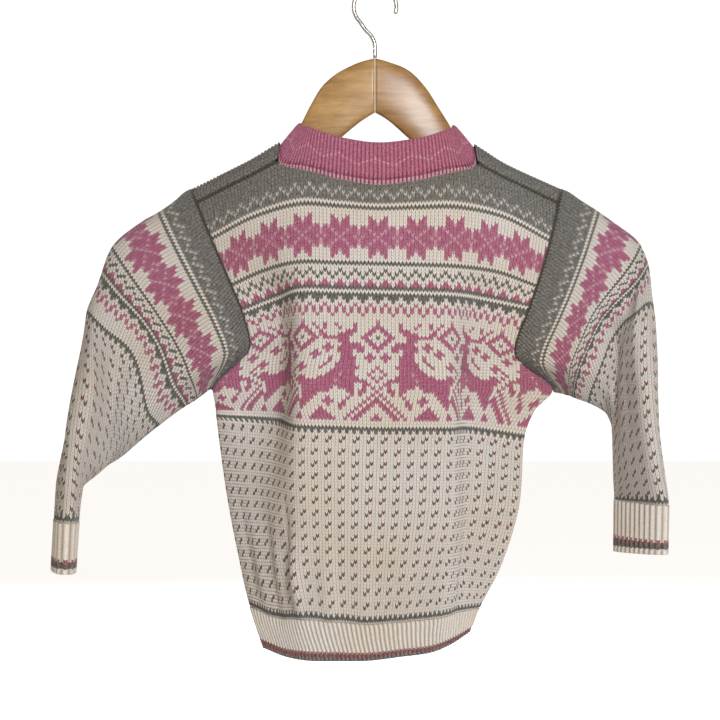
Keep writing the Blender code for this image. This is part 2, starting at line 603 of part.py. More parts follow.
def button(name, row):
    corners = front_level([row - 2.4, row + 2.4], [-BAND_SHARE * 0.5, BAND_SHARE * 0.5], BAND_OUT + BUTTON_GAP)
    place = corners.reshape(-1, 3).mean(axis=0)
    side = unit(corners[0, 1] - corners[0, 0])
    normal = unit(np.cross(side, corners[1, 0] - corners[0, 0]))
    normal *= -np.sign(normal[1])
    up = np.cross(side, normal)
    angle = np.arange(20)[:, None] * 2 * math.pi / 20
    profile = ((BUTTON_RADIUS - 0.5, 0.0), (BUTTON_RADIUS, 0.8), (BUTTON_RADIUS - 0.4, BUTTON_THICK),
               (BUTTON_RADIUS - 1.6, BUTTON_THICK - 0.1), (BUTTON_RADIUS - 2.3, BUTTON_THICK - 0.8))
    spokes = side * np.cos(angle) + up * np.sin(angle)
    add_rod(name, [place + normal * height + spokes * radius for radius, height in profile], "grey")


# ---- the hanger

def hanger_arm(name, table):
    """One wooden half: an eight-sided section along the table."""
    table = np.array(table)
    rings = []
    steered = np.vstack([2 * table[0] - table[1], table, 2 * table[-1] - table[-2]])
    for x, top, bottom, y in curve_through(steered, 2):
        cut = min(3.5, (top - bottom) * 0.2)
        flat = ARM_HALF_THICK - cut * 0.8
        half = ((flat, top), (ARM_HALF_THICK, top - cut), (ARM_HALF_THICK, bottom + cut), (flat, bottom))
        rings.append([(x, y + w, z) for w, z in half] + [(x, y - w, z) for w, z in half[::-1]])
    add_rod(name, rings, "wood")


def hook():
    """The wire: a shank out of the wood's top, bent to one side and over in a crook."""
    path = [(0.0, -61.6), (0.0, -55.0), (0.6, -48.5), (3.4, -42.5), (8.2, -37.6)]
    for degrees in np.arange(-44, 206, 12.5):
        a = math.radians(degrees)
        path.append((CROOK_RADIUS * math.cos(a), WIRE_RADIUS - CROOK_RADIUS + CROOK_RADIUS * math.sin(a)))
    path = np.array([(x, 0.0, z) for x, z in path])
    across = np.array([0.0, 1.0, 0.0])
    angle = (np.arange(8) + 0.5)[:, None] * math.pi / 4
    radii = [WIRE_RADIUS] * (len(path) - 1) + [WIRE_RADIUS * 0.6]
    rings = []
    for place, direction, radius in zip(path, unit(np.gradient(path, axis=0)), radii):
        spokes = across * np.cos(angle) + np.cross(direction, across) * np.sin(angle)
        rings.append(place + spokes * radius)
    add_rod("hanger_hook", rings, "steel")


# ---- build

for old in list(bpy.data.objects):
    bpy.data.objects.remove(old, do_unlink=True)

body_panel("back", "back", [-s for s in BACK_SHARES[:0:-1]] + BACK_SHARES, BACK_TOP, BACK_ROWS)
body_panel("front_left", "front", FRONT_SHARES, FRONT_TOP, FRONT_ROWS)
body_panel("front_right", "front", [-s for s in FRONT_SHARES[::-1]], FRONT_TOP, FRONT_ROWS)

for word, side in (("left", 1), ("right", -1)):
    table, folds = (SLEEVE_LEFT, SLEEVE_FOLDS_LEFT) if side == 1 else (SLEEVE_RIGHT, SLEEVE_FOLDS_RIGHT)
    places, normals = sleeve_grid(table, side, SLEEVE_ROWS, np.arange(SLEEVE_SIDES) / SLEEVE_SIDES, folds)
    add_wall("sleeve_" + word, places, places - normals * WALL, "cream", closed=True)
    rib_points = np.arange(CUFF_RIBS * 2)
    places, normals = sleeve_grid(table, side, CUFF_ROWS, rib_points / len(rib_points), ())
    ribs = RIB_HEIGHT * (rib_points % 2 == 0)
    add_wall("cuff_" + word, places + normals * ribs[None, :, None], places - normals * WALL, "cream", closed=True)

hem_rib()
collar()
band("band_right", -BAND_SHARE + 0.003, BAND_SHARE - 0.012, BAND_OUT)
band("band_left", -BAND_SHARE + 0.012, BAND_SHARE - 0.003, BAND_OUT - BAND_THICK - 0.5)
for number, button_row in enumerate(BUTTON_ROWS):
    button(f"button_{number + 1}", button_row)
hanger_arm("hanger_arm_left", ARM_LEFT)
hanger_arm("hanger_arm_right", ARM_RIGHT)
hook()
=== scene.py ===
"""The looks of a child's stranded-knit cardigan on a wooden hanger.

Lengths are in millimetres. A row is a row of stitches, counted down from the shoulder ridge, or from the
armhole on a sleeve. A column is a stitch counted from the middle of the back or front, + to the wearer's
left. A share is a place across the cloth, from -1 at its right edge to 1 at its left edge, or from 0 to 1
round a tube."""
import math

import bpy
import numpy as np
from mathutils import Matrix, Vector


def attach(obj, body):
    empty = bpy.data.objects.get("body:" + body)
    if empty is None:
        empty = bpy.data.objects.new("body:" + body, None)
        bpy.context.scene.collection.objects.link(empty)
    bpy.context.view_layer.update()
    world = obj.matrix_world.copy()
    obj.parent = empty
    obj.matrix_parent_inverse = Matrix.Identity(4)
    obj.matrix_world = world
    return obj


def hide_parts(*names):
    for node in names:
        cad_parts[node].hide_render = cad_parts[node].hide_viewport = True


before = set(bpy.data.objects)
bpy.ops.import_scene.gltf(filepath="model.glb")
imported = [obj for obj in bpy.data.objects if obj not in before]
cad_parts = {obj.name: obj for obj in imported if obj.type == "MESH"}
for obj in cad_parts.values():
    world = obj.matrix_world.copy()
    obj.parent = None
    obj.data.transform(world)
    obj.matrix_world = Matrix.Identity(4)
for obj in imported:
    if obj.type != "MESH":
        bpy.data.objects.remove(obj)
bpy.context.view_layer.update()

MM = 0.001
STITCH = 3.2  # a stitch's width
SLANT, RELIEF = 0.42, 0.75  # how far a stitch's V leans, in rows, and how far it stands out
CLOTH_THICK = 2.2
RING_POWER = 0.8  # under 1 a sleeve's ring is squarer than an ellipse
RIDGE_ROWS = 4.0  # rows in which the cloth turns over the shoulder ridge
SEAM_ROW = 4.8  # the shoulder seam, on the back
UNDERARM_ROW = 71.0
SIDE_ROUND, SIDE_REACH = 4.8, 5.0  # half the depth of the body's rounded side, and how far in it begins
FILL = 1.5  # how far the cloth bulges between a ridge and the middle
PER_SPAN = 10  # steps from one place across the cloth to the next
HEM_TOP_ROW, HEM_END_ROW = 144.0, 158.0
CUFF_TOP_ROW, CUFF_END_ROW = 108.0, 124.0
YOKE_ROW = 10  # the body's row where its pattern begins
SHOULDER_TUCK = 0.04  # share of the width that the fronts go on under the collar
NECK_TUCK = 1.3  # rows of the back's neck edge that lie under the collar
UNDER_RIB = 0.4  # rows of the cloth that go on under a rib
BODY_COLUMNS, SLEEVE_COLUMNS = (-60, 68), (-66, 66)  # first and last stitch
SEAM_COLUMN, SEAM_SHARE = 26, 0.54  # where the shoulder's seam begins, next to the neck
TUCK_SHARE, TUCK_DEPTH = 0.03, 2.0  # how a sleeve's cloth goes on under the body's edge
CREASE_LOW = 1.3  # over 1 a crease of the body is highest below its middle
CREASE_ENDS = 1.2  # over 1 a crease of a sleeve begins and ends more softly
# how far the cloth sinks under the collar, at the shoulder's seam, under a rib and at the side
NECK_SINK, SEAM_SINK, END_SINK, SIDE_SINK = 1.6, 1.2, 1.2, 1.0
SIDE_GAP = 0.12  # how far each panel's side edge stands off the middle of the side
HEM_RIBS, CUFF_RIBS, COLLAR_RIBS = 114, 24, 148
RIB_OUT, COLLAR_RIB_OUT, RIB_SLANT = 1.4, 0.75, 0.35
RIB_DOT = 0.3  # half the width of a dot on a rib, in ribs
HEM_CELLS = 640  # cells of the welt's form from band to band
# rows where the wine stripe's dots begin, where it is full and where it ends
HEM_STRIPE, CUFF_STRIPE = (154.3, 155.4, 156.4), (118.9, 119.9, 120.8)
COLLAR_THICK, COLLAR_GAP = 3.6, 1.3
COLLAR_PLACES = 129  # places round the neck where the collar's lean is worked out
COLLAR_END, COLLAR_END_WIDTH = 0.98, 0.26  # where the collar's base turns at the shoulder, and over how far
COLLAR_OUT, COLLAR_DOWN = 5.5, -2.6  # how far it is moved there
ZIGZAG_RIBS = 9.0
BAND_SHARE = 0.085
BAND_THICK, BAND_OUT, BAND_STITCHES, BAND_ROWS, BAND_TOP_ROW = 2.5, 1.3, 7, 129, 28.9
BUTTON_ROWS = (34.0, 54.0, 74.0, 94.0, 114.0, 134.0, 152.0)
BUTTON_GAP, EYE_PLACE = 0.45, 1.7
# radius and height
BUTTON_PROFILE = ((0.01, 0.0), (5.6, 0.0), (6.2, 0.4), (6.5, 1.1), (6.35, 1.9), (5.9, 2.35), (5.3, 2.4),
                  (4.7, 2.1), (4.2, 1.7), (3.4, 1.55), (0.01, 1.55))
EYE_PROFILE = ((0.8, 1.45), (0.75, 1.62), (0.01, 1.6))
ARM_HALF_THICK, ARM_SIDES = 6.0, 28
ARM_POWER_ACROSS, ARM_POWER_UP = 0.62, 0.7  # under 1 the arm's section is squarer than an ellipse
ARM_FIT_ACROSS, ARM_FIT_UP = 0.97, 0.985  # its size against the solid's
WIRE_RADIUS = 1.75
CROOK_RADIUS = 18.75  # to the middle of the wire; its inside top is the origin
# SEAM_SHADOW is a near-black yarn, painted shadow along the shoulder and armhole seams
CREAM, PINK, GREY, PALE, LIGHT, MAUVE, WINE, ROSE, LINE, SEAM_SHADOW = range(10)

# row, then the left edge, left crease, left ridge, middle, right ridge, right crease and right edge
BODY_X = (
    (0, 165.9, 114.9, 65.7, -2.6, -70.1, -117.8, -167.8),
    (16, 147.2, 108.1, 65, -2.6, -70.3, -113.5, -157.2),
    (34, 128.2, 99.4, 67.5, -2.6, -69.2, -108.4, -144.5),
    (42, 118.5, 86, 65.5, -2.6, -67.4, -92.8, -137.5),
    (57, 111.8, 83, 64.5, -2.6, -64.8, -87, -125.4),
    (71, 146.9, 84, 65, -1.7, -64.8, -84.7, -161),
    (77, 145, 86, 66, -1.3, -64.8, -84.8, -143),
    (83.5, 143.6, 89, 67.5, -0.9, -64.8, -84.9, -134.7),
    (106, 135.2, 95.6, 69, 0.9, -64.7, -84.9, -130.9),
    (125, 125.2, 92.5, 67.3, 2.6, -62.1, -81, -115.5),
    (144, 112.6, 86.7, 63.2, 4.3, -54.6, -73.2, -94),
    (158, 99.7, 78.5, 58.2, 6, -47.8, -66, -84.3),
)
BODY_Z = (
    (0, -172, -150.5, -127.5, -148.3, -129, -152.5, -171.8),
    (16, -216.7, -199.6, -189.5, -195.1, -192.1, -198.9, -218.3),
    (34, -260.6, -249.5, -243.6, -245.6, -247.1, -250.2, -261.3),
    (42, -284.6, -272.8, -268, -269.7, -271.4, -272.8, -280.9),
    (57, -313.8, -308.7, -311.2, -312.2, -312.9, -313.3, -320),
    (71, -353, -345.9, -350.9, -352.7, -352.6, -351.4, -354),
    (83.5, -378.4, -381.9, -387.2, -389.7, -389.8, -389.8, -397.3),
    (106, -442.9, -444.2, -447.5, -449.2, -449.3, -449.7, -451.4),
    (125, -497.4, -496.8, -498.4, -499.9, -499.8, -500.9, -507.4),
    (144, -548.6, -555.3, -552.6, -555.9, -551.8, -550, -549.7),
    (158, -585.8, -589.7, -589.7, -588.3, -582.8, -578.6, -571.1),
)
BACK_Y = (
    (0, -24, -6, 5, 20, 5, -8, -25),
    (16, -17, 2, 18, 27, 18, 0, -19),
    (34, -15, 0, 21, 28, 21, -2, -17),
    (42, -16, -6, 23, 27, 22, -6, -18),
    (57, -20, -15, 24, 26, 23, -11, -22),
    (71, -38, -22, 24, 25, 23, -17, -40),
    (83.5, -38, -14, 24, 25, 23, -19, -34),
    (106, -40, -9, 25, 26, 24, -19, -32),
    (125, -40, -7, 25, 27, 24, -14, -32),
    (144, -30, -6, 20, 27, 20, -3, -28),
    (158, -26, -3, 16, 24, 16, 0, -24),
)
FRONT_Y = (
    (0, -43, -25, -16, -14, -16, -27, -44),
    (16, -48, -42, -42, -46, -42, -44, -50),
    (34, -50, -50, -56, -60, -56, -52, -52),
    (42, -52, -52, -62, -64, -62, -54, -54),
    (57, -56, -54, -68, -68, -68, -56, -58),
    (71, -38, -52, -72, -70, -72, -52, -40),
    (83.5, -38, -50, -74, -72, -74, -48, -34),
    (106, -40, -50, -74, -72, -74, -46, -32),
    (125, -40, -48, -72, -71, -72, -44, -32),
    (144, -30, -42, -58, -62, -58, -42, -28),
    (158, -26, -40, -54, -58, -54, -40, -24),
)
# row, stitches from the middle to the left edge, to the right edge
WIDTH_IN_STITCHES = (
    (0, 52, 53),
    (16, 49, 49),
    (34, 44, 47),
    (42, 43, 46),
    (57, 43, 44),
    (71, 54, 55),
    (83.5, 54, 52),
    (158, 54, 52),
)
# the same for the figures, which are narrower below the yoke
FIGURES_IN_STITCHES = WIDTH_IN_STITCHES[:6] + ((78, 56, 54), (88, 66, 57), (158, 66, 57))
# row, and how much closer the stitches lie at the left edge
CROWDING = ((60, 0), (78, 0.1), (92, 0.24), (158, 0.24))
# row from the armhole, x y z of the upper fold, x y z of the lower fold, half the tube's thickness, and how
# much of the armhole's own form is left
SLEEVE_LEFT = (
    (0, 167.2, -34, -170.5, 146.9, -38, -353, 16, 1),
    (11, 192.8, -30, -190.9, 150.6, -39, -353.9, 20, 0.75),
    (19, 210.9, -30, -202, 154.4, -40, -356.6, 21, 0.5),
    (29, 237, -28, -225.5, 161.9, -42, -362.1, 20, 0.25),
    (40, 248, -24, -258.1, 176.6, -43, -371.2, 19, 0.05),
    (50, 257, -16, -288.1, 199.5, -44, -388, 19, 0),
    (66, 256.5, 6, -338.5, 236.5, -50, -415, 18, 0),
    (82, 260, 24, -395.8, 256, -46, -424.5, 16, 0),
    (97, 260.5, 36, -434.8, 277.5, -38, -442.8, 11.5, 0),
    (108, 261.9, 42, -467.6, 279.7, -36, -468, 10.5, 0),
    (124, 264.1, 40, -512.1, 283.4, -36, -513.3, 10, 0),
)
SLEEVE_RIGHT = (
    (0, -169.2, -35, -170.3, -161, -40, -354, 16, 1),
    (11, -200.4, -32, -190.6, -170.1, -42, -357.5, 20, 0.75),
    (19, -214.5, -30, -201.7, -174.8, -43, -358.4, 21, 0.5),
    (29, -238.9, -26, -223.8, -182.5, -46, -361.2, 20, 0.25),
    (40, -245, -20, -248.6, -198.6, -50, -366.7, 19, 0.05),
    (50, -243, -10, -280.5, -217, -54, -377.7, 18, 0),
    (66, -240.5, 2, -329.6, -226.5, -58, -403.5, 16, 0),
    (82, -242, 12, -378.7, -224.7, -58, -433, 13.5, 0),
    (97, -247.5, 18, -423.7, -222.4, -50, -445.4, 11, 0),
    (108, -252, 20, -453.9, -220.1, -42, -453, 9.5, 0),
    (124, -251.5, 18, -497.4, -219.7, -42, -500.3, 9.5, 0),
)

# share of the width, row where the piece ends; a row under zero lies on the back, past the shoulder ridge
BACK_TOP = ((0.0, 10.0), (0.25, 9.7), (0.38, 9.0), (0.5, 7.2), (0.56, SEAM_ROW), (1.0, SEAM_ROW))
FRONT_TOP = ((0.0, 29.0), (0.085, 28.0), (0.25, 25.0), (0.38, 18.5), (0.46, 11.5), (0.515, 4.5), (0.54, 0.0),
             (0.55, -2.6), (0.56, -SEAM_ROW + 0.17), (1.0, -SEAM_ROW + 0.17))

# gathers and creases: column, rows from and to, height out of the cloth, half width, lean in columns; the
# last ones of each table are finer ones, which only the looks have
BACK_FOLDS = (
    (9, 112, 146, -5.5, 3.2, -2.0),
    (15, 118, 146, 4.0, 3.0, -3.0),
    (21, 108, 146, -4.0, 3.0, -5.0),
    (27, 116, 147, 3.5, 2.6, -6.0),
    (33, 104, 146, -3.5, 3.0, -8.0),
    (2, 124, 146, 2.5, 3.0, 0.0),
    (-6, 126, 146, -2.0, 2.6, 1.5),
    (-13, 122, 146, 2.0, 3.0, 3.0),
    (-20, 116, 146, -2.5, 3.0, 5.0),
    (34, 30, 74, -3.0, 4.0, 4.0),
    (-37, 34, 78, -3.0, 4.0, -3.0),
    (44, 72, 130, -3.0, 3.5, -4.0),
    (-42, 78, 132, -2.5, 3.5, 4.0),
    (28, 98, 147, -4.0, 1.7, 0.0),
    (11, 104, 147, -3.6, 1.5, 0.0),
    (33, 106, 147, 2.6, 1.6, 1.0),
    (38, 104, 147, -3.0, 1.7, 1.0),
    (43, 100, 147, 2.4, 1.6, 1.5),
    (48, 92, 147, -3.0, 1.8, 1.5),
    (24, 112, 147, 2.6, 1.5, 0.5),
    (18, 118, 147, -2.2, 1.3, 0.0),
    (14.5, 116, 147, 2.0, 1.2, 0.0),
    (5, 124, 147, -1.8, 1.4, 0.0),
    (-2, 128, 147, -1.6, 1.3, 0.0),
    (-8, 124, 147, -1.8, 1.4, 0.5),
    (-15, 120, 147, -2.2, 1.5, 1.0),
    (-24, 112, 147, -2.4, 1.6, 1.5),
    (-32, 106, 147, 2.0, 1.6, 2.0),
    (-38, 98, 147, -2.2, 1.6, 2.0),
    (38, 44, 82, 1.6, 2.2, 9.0),
    (43, 52, 88, -1.6, 2.0, 10.0),
    (-40, 46, 84, 1.6, 2.2, -8.0),
    (46, 5, 17, -1.6, 0.7, 0.0),
    (44, 6, 16, -1.3, 0.6, 0.0),
    (-46.5, 5, 17, -1.6, 0.7, 0.0),
    (-44.5, 6, 16, -1.3, 0.6, 0.0),
)
FRONT_FOLDS = (
    (12, 110, 146, -4.5, 3.2, -2.0),
    (20, 118, 146, 3.5, 3.0, -4.0),
    (29, 106, 146, -4.0, 3.0, -6.0),
    (-11, 116, 146, -4.0, 3.0, 2.0),
    (-19, 112, 146, 3.0, 3.0, 4.0),
    (-28, 104, 146, -4.0, 3.2, 6.0),
    (33, 30, 76, -3.0, 4.0, 5.0),
    (-35, 28, 72, -3.0, 4.0, -4.0),
    (16, 118, 147, -2.4, 1.5, -2.0),
    (24, 112, 147, -2.4, 1.5, -3.0),
    (34, 104, 147, 2.4, 1.6, -3.0),
    (42, 100, 147, -2.6, 1.7, -2.0),
    (-15, 120, 147, -2.2, 1.4, 2.0),
    (-24, 110, 147, 2.4, 1.6, 3.0),
    (-34, 104, 147, -2.6, 1.7, 3.0),
    (-43, 98, 147, 2.2, 1.6, 2.0),
    (38, 44, 84, -1.6, 2.2, 9.0),
    (-40, 46, 86, 1.6, 2.2, -8.0),
)
# share round the tube, 0 at the upper fold and 0.5 at the lower one, the first half seen from behind, then
# rows from and to, height, half width
SLEEVE_FOLDS_LEFT = (
    (0.30, 16, 62, -4.0, 0.05),
    (0.40, 8, 44, 3.0, 0.035),
    (0.17, 44, 84, -3.0, 0.05),
    (0.66, 14, 58, -4.0, 0.05),
    (0.82, 40, 88, -3.0, 0.05),
    (0.12, 60, 106, -1.8, 0.03),
    (0.24, 28, 74, 1.8, 0.03),
    (0.35, 40, 100, 1.6, 0.03),
    (0.45, 20, 70, -1.8, 0.03),
    (0.73, 30, 80, 1.8, 0.03),
    (0.90, 70, 106, -1.8, 0.03),
)
SLEEVE_FOLDS_RIGHT = (
    (0.25, 10, 60, -6.0, 0.05),
    (0.37, 4, 46, 3.5, 0.04),
    (0.15, 50, 96, -2.5, 0.05),
    (0.64, 10, 52, -4.0, 0.05),
    (0.84, 36, 90, -3.0, 0.05),
    (0.29, 24, 84, -5.0, 0.05),
    (0.08, 20, 70, 1.8, 0.03),
    (0.31, 14, 52, 2.0, 0.025),
    (0.19, 8, 48, 1.6, 0.025),
    (0.43, 30, 96, -1.6, 0.03),
    (0.71, 24, 76, 1.8, 0.03),
    (0.91, 66, 106, -1.8, 0.03),
)
# place round the neck, 0 at the middle of the back, 1 at the shoulder, 2 at the front, and the rise in x y z
COLLAR_RISE = (
    (0.0, 0.0, 2.0, 35.0),
    (0.31, 1.8, 1.5, 34.5),
    (0.46, 3.4, 1.0, 34.6),
    (0.61, 6.6, 1.0, 35.5),
    (0.76, 13.8, 0.5, 36.5),
    (0.9, 20.0, 0.0, 32.5),
    (1.08, 19.5, 0.0, 24.0),
    (1.45, 15.0, 3.0, 29.0),
    (2.0, 0.0, 8.0, 33.0),
)
# x, top z, bottom z, y of the wooden arms from the middle joint to the tip, on the left and on the right
ARM_LEFT = (
    (0.2, -62.0, -110.5, 0.0),
    (13.5, -65.4, -119.0, -0.3),
    (33.4, -74.8, -135.5, -1.4),
    (46.6, -86, -146.0, -2.8),
    (56.0, -101, -153.0, -4.0),
    (63.5, -115.5, -159.0, -5.2),
    (72.0, -132, -166.0, -6.7),
    (84.0, -149.5, -174.0, -9.1),
    (104.0, -163.0, -184.5, -13.9),
    (128.0, -174.5, -194.0, -21.1),
    (148.0, -182.0, -199.5, -28.2),
    (156.0, -186.5, -198.0, -31.3),
)
ARM_RIGHT = (
    (-0.2, -62.0, -110.5, 0.0),
    (-11.0, -64.9, -117.0, -0.2),
    (-30.0, -72.5, -133.5, -1.2),
    (-44.9, -87.5, -146.5, -2.6),
    (-56.0, -104.5, -154.0, -4.0),
    (-67.0, -122, -162.0, -5.8),
    (-78.0, -143.5, -170.0, -7.8),
    (-92.0, -156.5, -178.5, -10.9),
    (-112.0, -167.0, -187.5, -16.1),
    (-134.0, -177.5, -196.0, -23.1),
    (-150.0, -184.0, -200.5, -28.9),
    (-158.0, -188.5, -199.0, -32.1),
)


# ---- tables and curves, as in the part's source

def steady(rows, table):
    """The table's columns at these rows, by a cubic that never swings past the table's own values."""
    table = np.asarray(table, float)
    xs, ys = table[:, 0], table[:, 1:]
    gap = np.diff(xs)[:, None]
    rise = np.diff(ys, axis=0) / gap
    slope = np.empty_like(ys)
    slope[0], slope[-1] = rise[0], rise[-1]
    same = rise[1:] * rise[:-1] > 0
    safe_a, safe_b = np.where(same, rise[:-1], 1.0), np.where(same, rise[1:], 1.0)
    wa, wb = 2 * gap[1:] + gap[:-1], gap[1:] + 2 * gap[:-1]
    slope[1:-1] = np.where(same, (wa + wb) / (wa / safe_a + wb / safe_b), 0.0)
    rows = np.atleast_1d(np.asarray(rows, float))
    i = np.clip(np.searchsorted(xs, rows) - 1, 0, len(xs) - 2)
    t = ((rows - xs[i]) / gap[i, 0])[:, None]
    h = gap[i]
    return (ys[i] * (2 * t**3 - 3 * t**2 + 1) + slope[i] * h * (t**3 - 2 * t**2 + t)
            + ys[i + 1] * (3 * t**2 - 2 * t**3) + slope[i + 1] * h * (t**3 - t**2))


def ramp(x, start, end):
    """0 before start, 1 past end, and a soft step between."""
    t = np.clip((np.asarray(x, float) - start) / (end - start), 0.0, 1.0)
    return t * t * (3 - 2 * t)


def bell(x, middle, width):
    return np.exp(-((x - middle) / width) ** 2)


def lengths(points):
    return np.concatenate([[0.0], np.cumsum(np.linalg.norm(np.diff(points, axis=0), axis=1))])


def read_at(places, known, columns):
    return np.stack([np.interp(places, known, column) for column in np.transpose(columns)], axis=1)


def along(points, shares):
    """The places at these shares of the line's length."""
    length = lengths(points)
    return read_at(np.asarray(shares) * length[-1], length, points)


def unit(vectors):
    return vectors / np.maximum(np.linalg.norm(vectors, axis=-1, keepdims=True), 1e-9)


def between(grid, i, j, u, v):
    """The grid's value u of the way from row i to the next and v of the way from column j to the next."""
    upper = grid[i, j] * (1 - v) + grid[i, j + 1] * v
    lower = grid[i + 1, j] * (1 - v) + grid[i + 1, j + 1] * v
    return upper * (1 - u) + lower * u


def curve_through(places, per_span):
    """A centripetal Catmull-Rom curve through all places but the first and the last."""
    places = np.asarray(places, float)
    out = []
    for k in range(places.shape[-2] - 3):
        a, b, c, d = (places[..., k + m, :][..., None, :] for m in range(4))
        ab, bc, cd = (np.sqrt(np.linalg.norm(q - p, axis=-1, keepdims=True)) + 1e-6
                      for p, q in ((a, b), (b, c), (c, d)))
        t0, t1, t2, t3 = 0.0 * ab, ab, ab + bc, ab + bc + cd
        t = t1 + bc * np.linspace(0, 1, per_span, endpoint=False)[:, None]
        ab_line = ((t1 - t) * a + (t - t0) * b) / (t1 - t0)
        bc_line = ((t2 - t) * b + (t - t1) * c) / (t2 - t1)
        cd_line = ((t3 - t) * c + (t - t2) * d) / (t3 - t2)
        first = ((t2 - t) * ab_line + (t - t0) * bc_line) / (t2 - t0)
        second = ((t3 - t) * bc_line + (t - t1) * cd_line) / (t3 - t1)
        out.append(((t2 - t) * first + (t - t1) * second) / (t2 - t1))
    out.append(places[..., -2:-1, :])
    return np.concatenate(out, axis=-2)


def with_ends(table):
    """The table with one more row past each end, for curve_through."""
    return np.vstack([2 * table[0] - table[1], table, 2 * table[-1] - table[-2]])


def side_closing(rows):
    """How far the back and the front have met at the side, from 0 to 1."""
    return ramp(rows, UNDERARM_ROW - 12, UNDERARM_ROW)


def controls(rows, face):
    """Seven places across the cloth at each row: edge, crease, ridge, middle, ridge, crease, edge."""
    back, front = steady(rows, BACK_Y), steady(rows, FRONT_Y)
    own = back if face == "back" else front
    over = np.sqrt(1 - (1 - np.clip(rows / RIDGE_ROWS, 0, 1)) ** 2)[:, None]
    y = (back + front) / 2 + (own - (back + front) / 2) * over
    for edge in (0, 6):
        y[:, edge] += ((back + front)[:, edge] / 2 - y[:, edge]) * side_closing(rows)
    return np.stack([steady(rows, BODY_X), y, steady(rows, BODY_Z)], axis=2)


def cloth_field(face):
    """The body's smooth cloth as a fine grid, FIELD_ROWS down and FIELD_SHARES across."""
    own = controls(FIELD_ROWS, face)
    sign = 1.0 if face == "back" else -1.0
    closing = side_closing(FIELD_ROWS)[:, None]
    ends = []
    for edge, crease in ((own[:, 0], own[:, 1]), (own[:, 6], own[:, 5])):
        inward = (crease - edge) * SIDE_REACH / np.linalg.norm(crease - edge, axis=1, keepdims=True)
        flat = inward * [1.0, 0.0, 1.0]
        turned = np.array([0.0, SIDE_ROUND * sign, 0.0])
        corner = edge + inward * (1 - closing) + (flat + turned) * closing
        beyond = edge - inward * (1 - closing) + (flat - turned) * closing
        ends.append((beyond, edge, corner))
    fill = np.array([0.0, FILL * sign, 0.0])
    places = [*ends[0], own[:, 1], own[:, 2], (own[:, 2] + own[:, 3]) / 2 + fill, own[:, 3],
              (own[:, 3] + own[:, 4]) / 2 + fill, own[:, 4], own[:, 5], *ends[1][::-1]]
    curves = curve_through(np.stack(places, axis=1), PER_SPAN)
    middle = 5 * PER_SPAN
    half = FIELD_SHARES[FIELD_SHARES >= 0]
    lines = []
    for curve in curves:
        left, right = along(curve[middle::-1], half), along(curve[middle:], half)
        lines.append(np.concatenate([right[:0:-1], left]))
    return np.array(lines)


FIELD_ROWS = np.concatenate([[0, 0.04, 0.1, 0.2, 0.35, 0.55, 0.8], np.arange(1.1, RIDGE_ROWS, 0.3),
                             np.arange(RIDGE_ROWS, HEM_END_ROW + 0.6, 0.5)])
FIELD_SHARES = np.linspace(-1, 1, 481)
FIELD = {face: cloth_field(face) for face in ("back", "front")}


def smooth_cloth(rows, shares, face):
    field = FIELD[face]
    i = np.clip(np.searchsorted(FIELD_ROWS, rows) - 1, 0, len(FIELD_ROWS) - 2)
    u = np.clip((rows - FIELD_ROWS[i]) / (FIELD_ROWS[i + 1] - FIELD_ROWS[i]), 0, 1)[..., None]
    place = (shares + 1) / 2 * (len(FIELD_SHARES) - 1)
    j = np.clip(place.astype(int), 0, len(FIELD_SHARES) - 2)
    return between(field, i, j, u, (place - j)[..., None])


def outward(rows, shares, face):
    """The smooth cloth's normals, from a short step across and one down."""
    step, row_step = 0.012, 0.5
    across = (smooth_cloth(rows, np.clip(shares + step, -1, 1), face)
              - smooth_cloth(rows, np.clip(shares - step, -1, 1), face))
    down = (smooth_cloth(rows + row_step, shares, face)
            - smooth_cloth(np.maximum(rows - row_step, 0), shares, face))
    return unit(np.cross(across, down)) * (1 if face == "back" else -1)


def stitches_to_edge(rows, positive, table=WIDTH_IN_STITCHES):
    widths = steady(rows.ravel(), table)
    return np.where(positive, widths[:, 0].reshape(rows.shape), widths[:, 1].reshape(rows.shape))


def fold_height(rows, shares, folds):
    column = shares * stitches_to_edge(rows, shares >= 0)
    height = np.zeros_like(column)
    for place, first, last, out, half, lean in folds:
        t = np.clip((rows - first) / (last - first), 0, 1)
        height += out * np.sin(math.pi * t**CREASE_LOW) * bell(column - place + lean * (t - 1), 0, half)
    return height * ramp(1 - np.abs(shares), 0, 0.08)


def cloth(rows, shares, face):
    """Outer places of the body's cloth and their normals. A front's row under zero lies on the back."""
    rows, shares = np.broadcast_arrays(np.asarray(rows, float), np.asarray(shares, float))
    if face == "front" and (rows < 0).any():
        behind = cloth(np.maximum(-rows, 0), shares, "back")
        ahead = cloth(np.maximum(rows, 0), shares, "front")
        return tuple(np.where((rows < 0)[..., None], pair[0], pair[1]) for pair in zip(behind, ahead))
    folds = BACK_FOLDS if face == "back" else FRONT_FOLDS
    out = outward(rows, shares, face)
    return smooth_cloth(rows, shares, face) + out * fold_height(rows, shares, folds)[..., None], out


# ---- the sleeves' form

def armhole(side, step=0.0, sink=0.0):
    """The body's edge at the armhole from the ridge to the underarm, on the back and on the front."""
    rows = np.linspace(0, UNDERARM_ROW, 90)
    shares = np.full(len(rows), side * (1.0 - step))
    return [smooth_cloth(rows, shares, face) - outward(rows, shares, face) * sink
            for face in ("back", "front")]


def halves(near, far, shares):
    """Places round a tube that goes down the near line and up the far one."""
    first, second = along(near, np.clip(shares * 2, 0, 1)), along(far, np.clip(2 - shares * 2, 0, 1))
    return np.where((shares <= 0.5)[:, None], first, second)


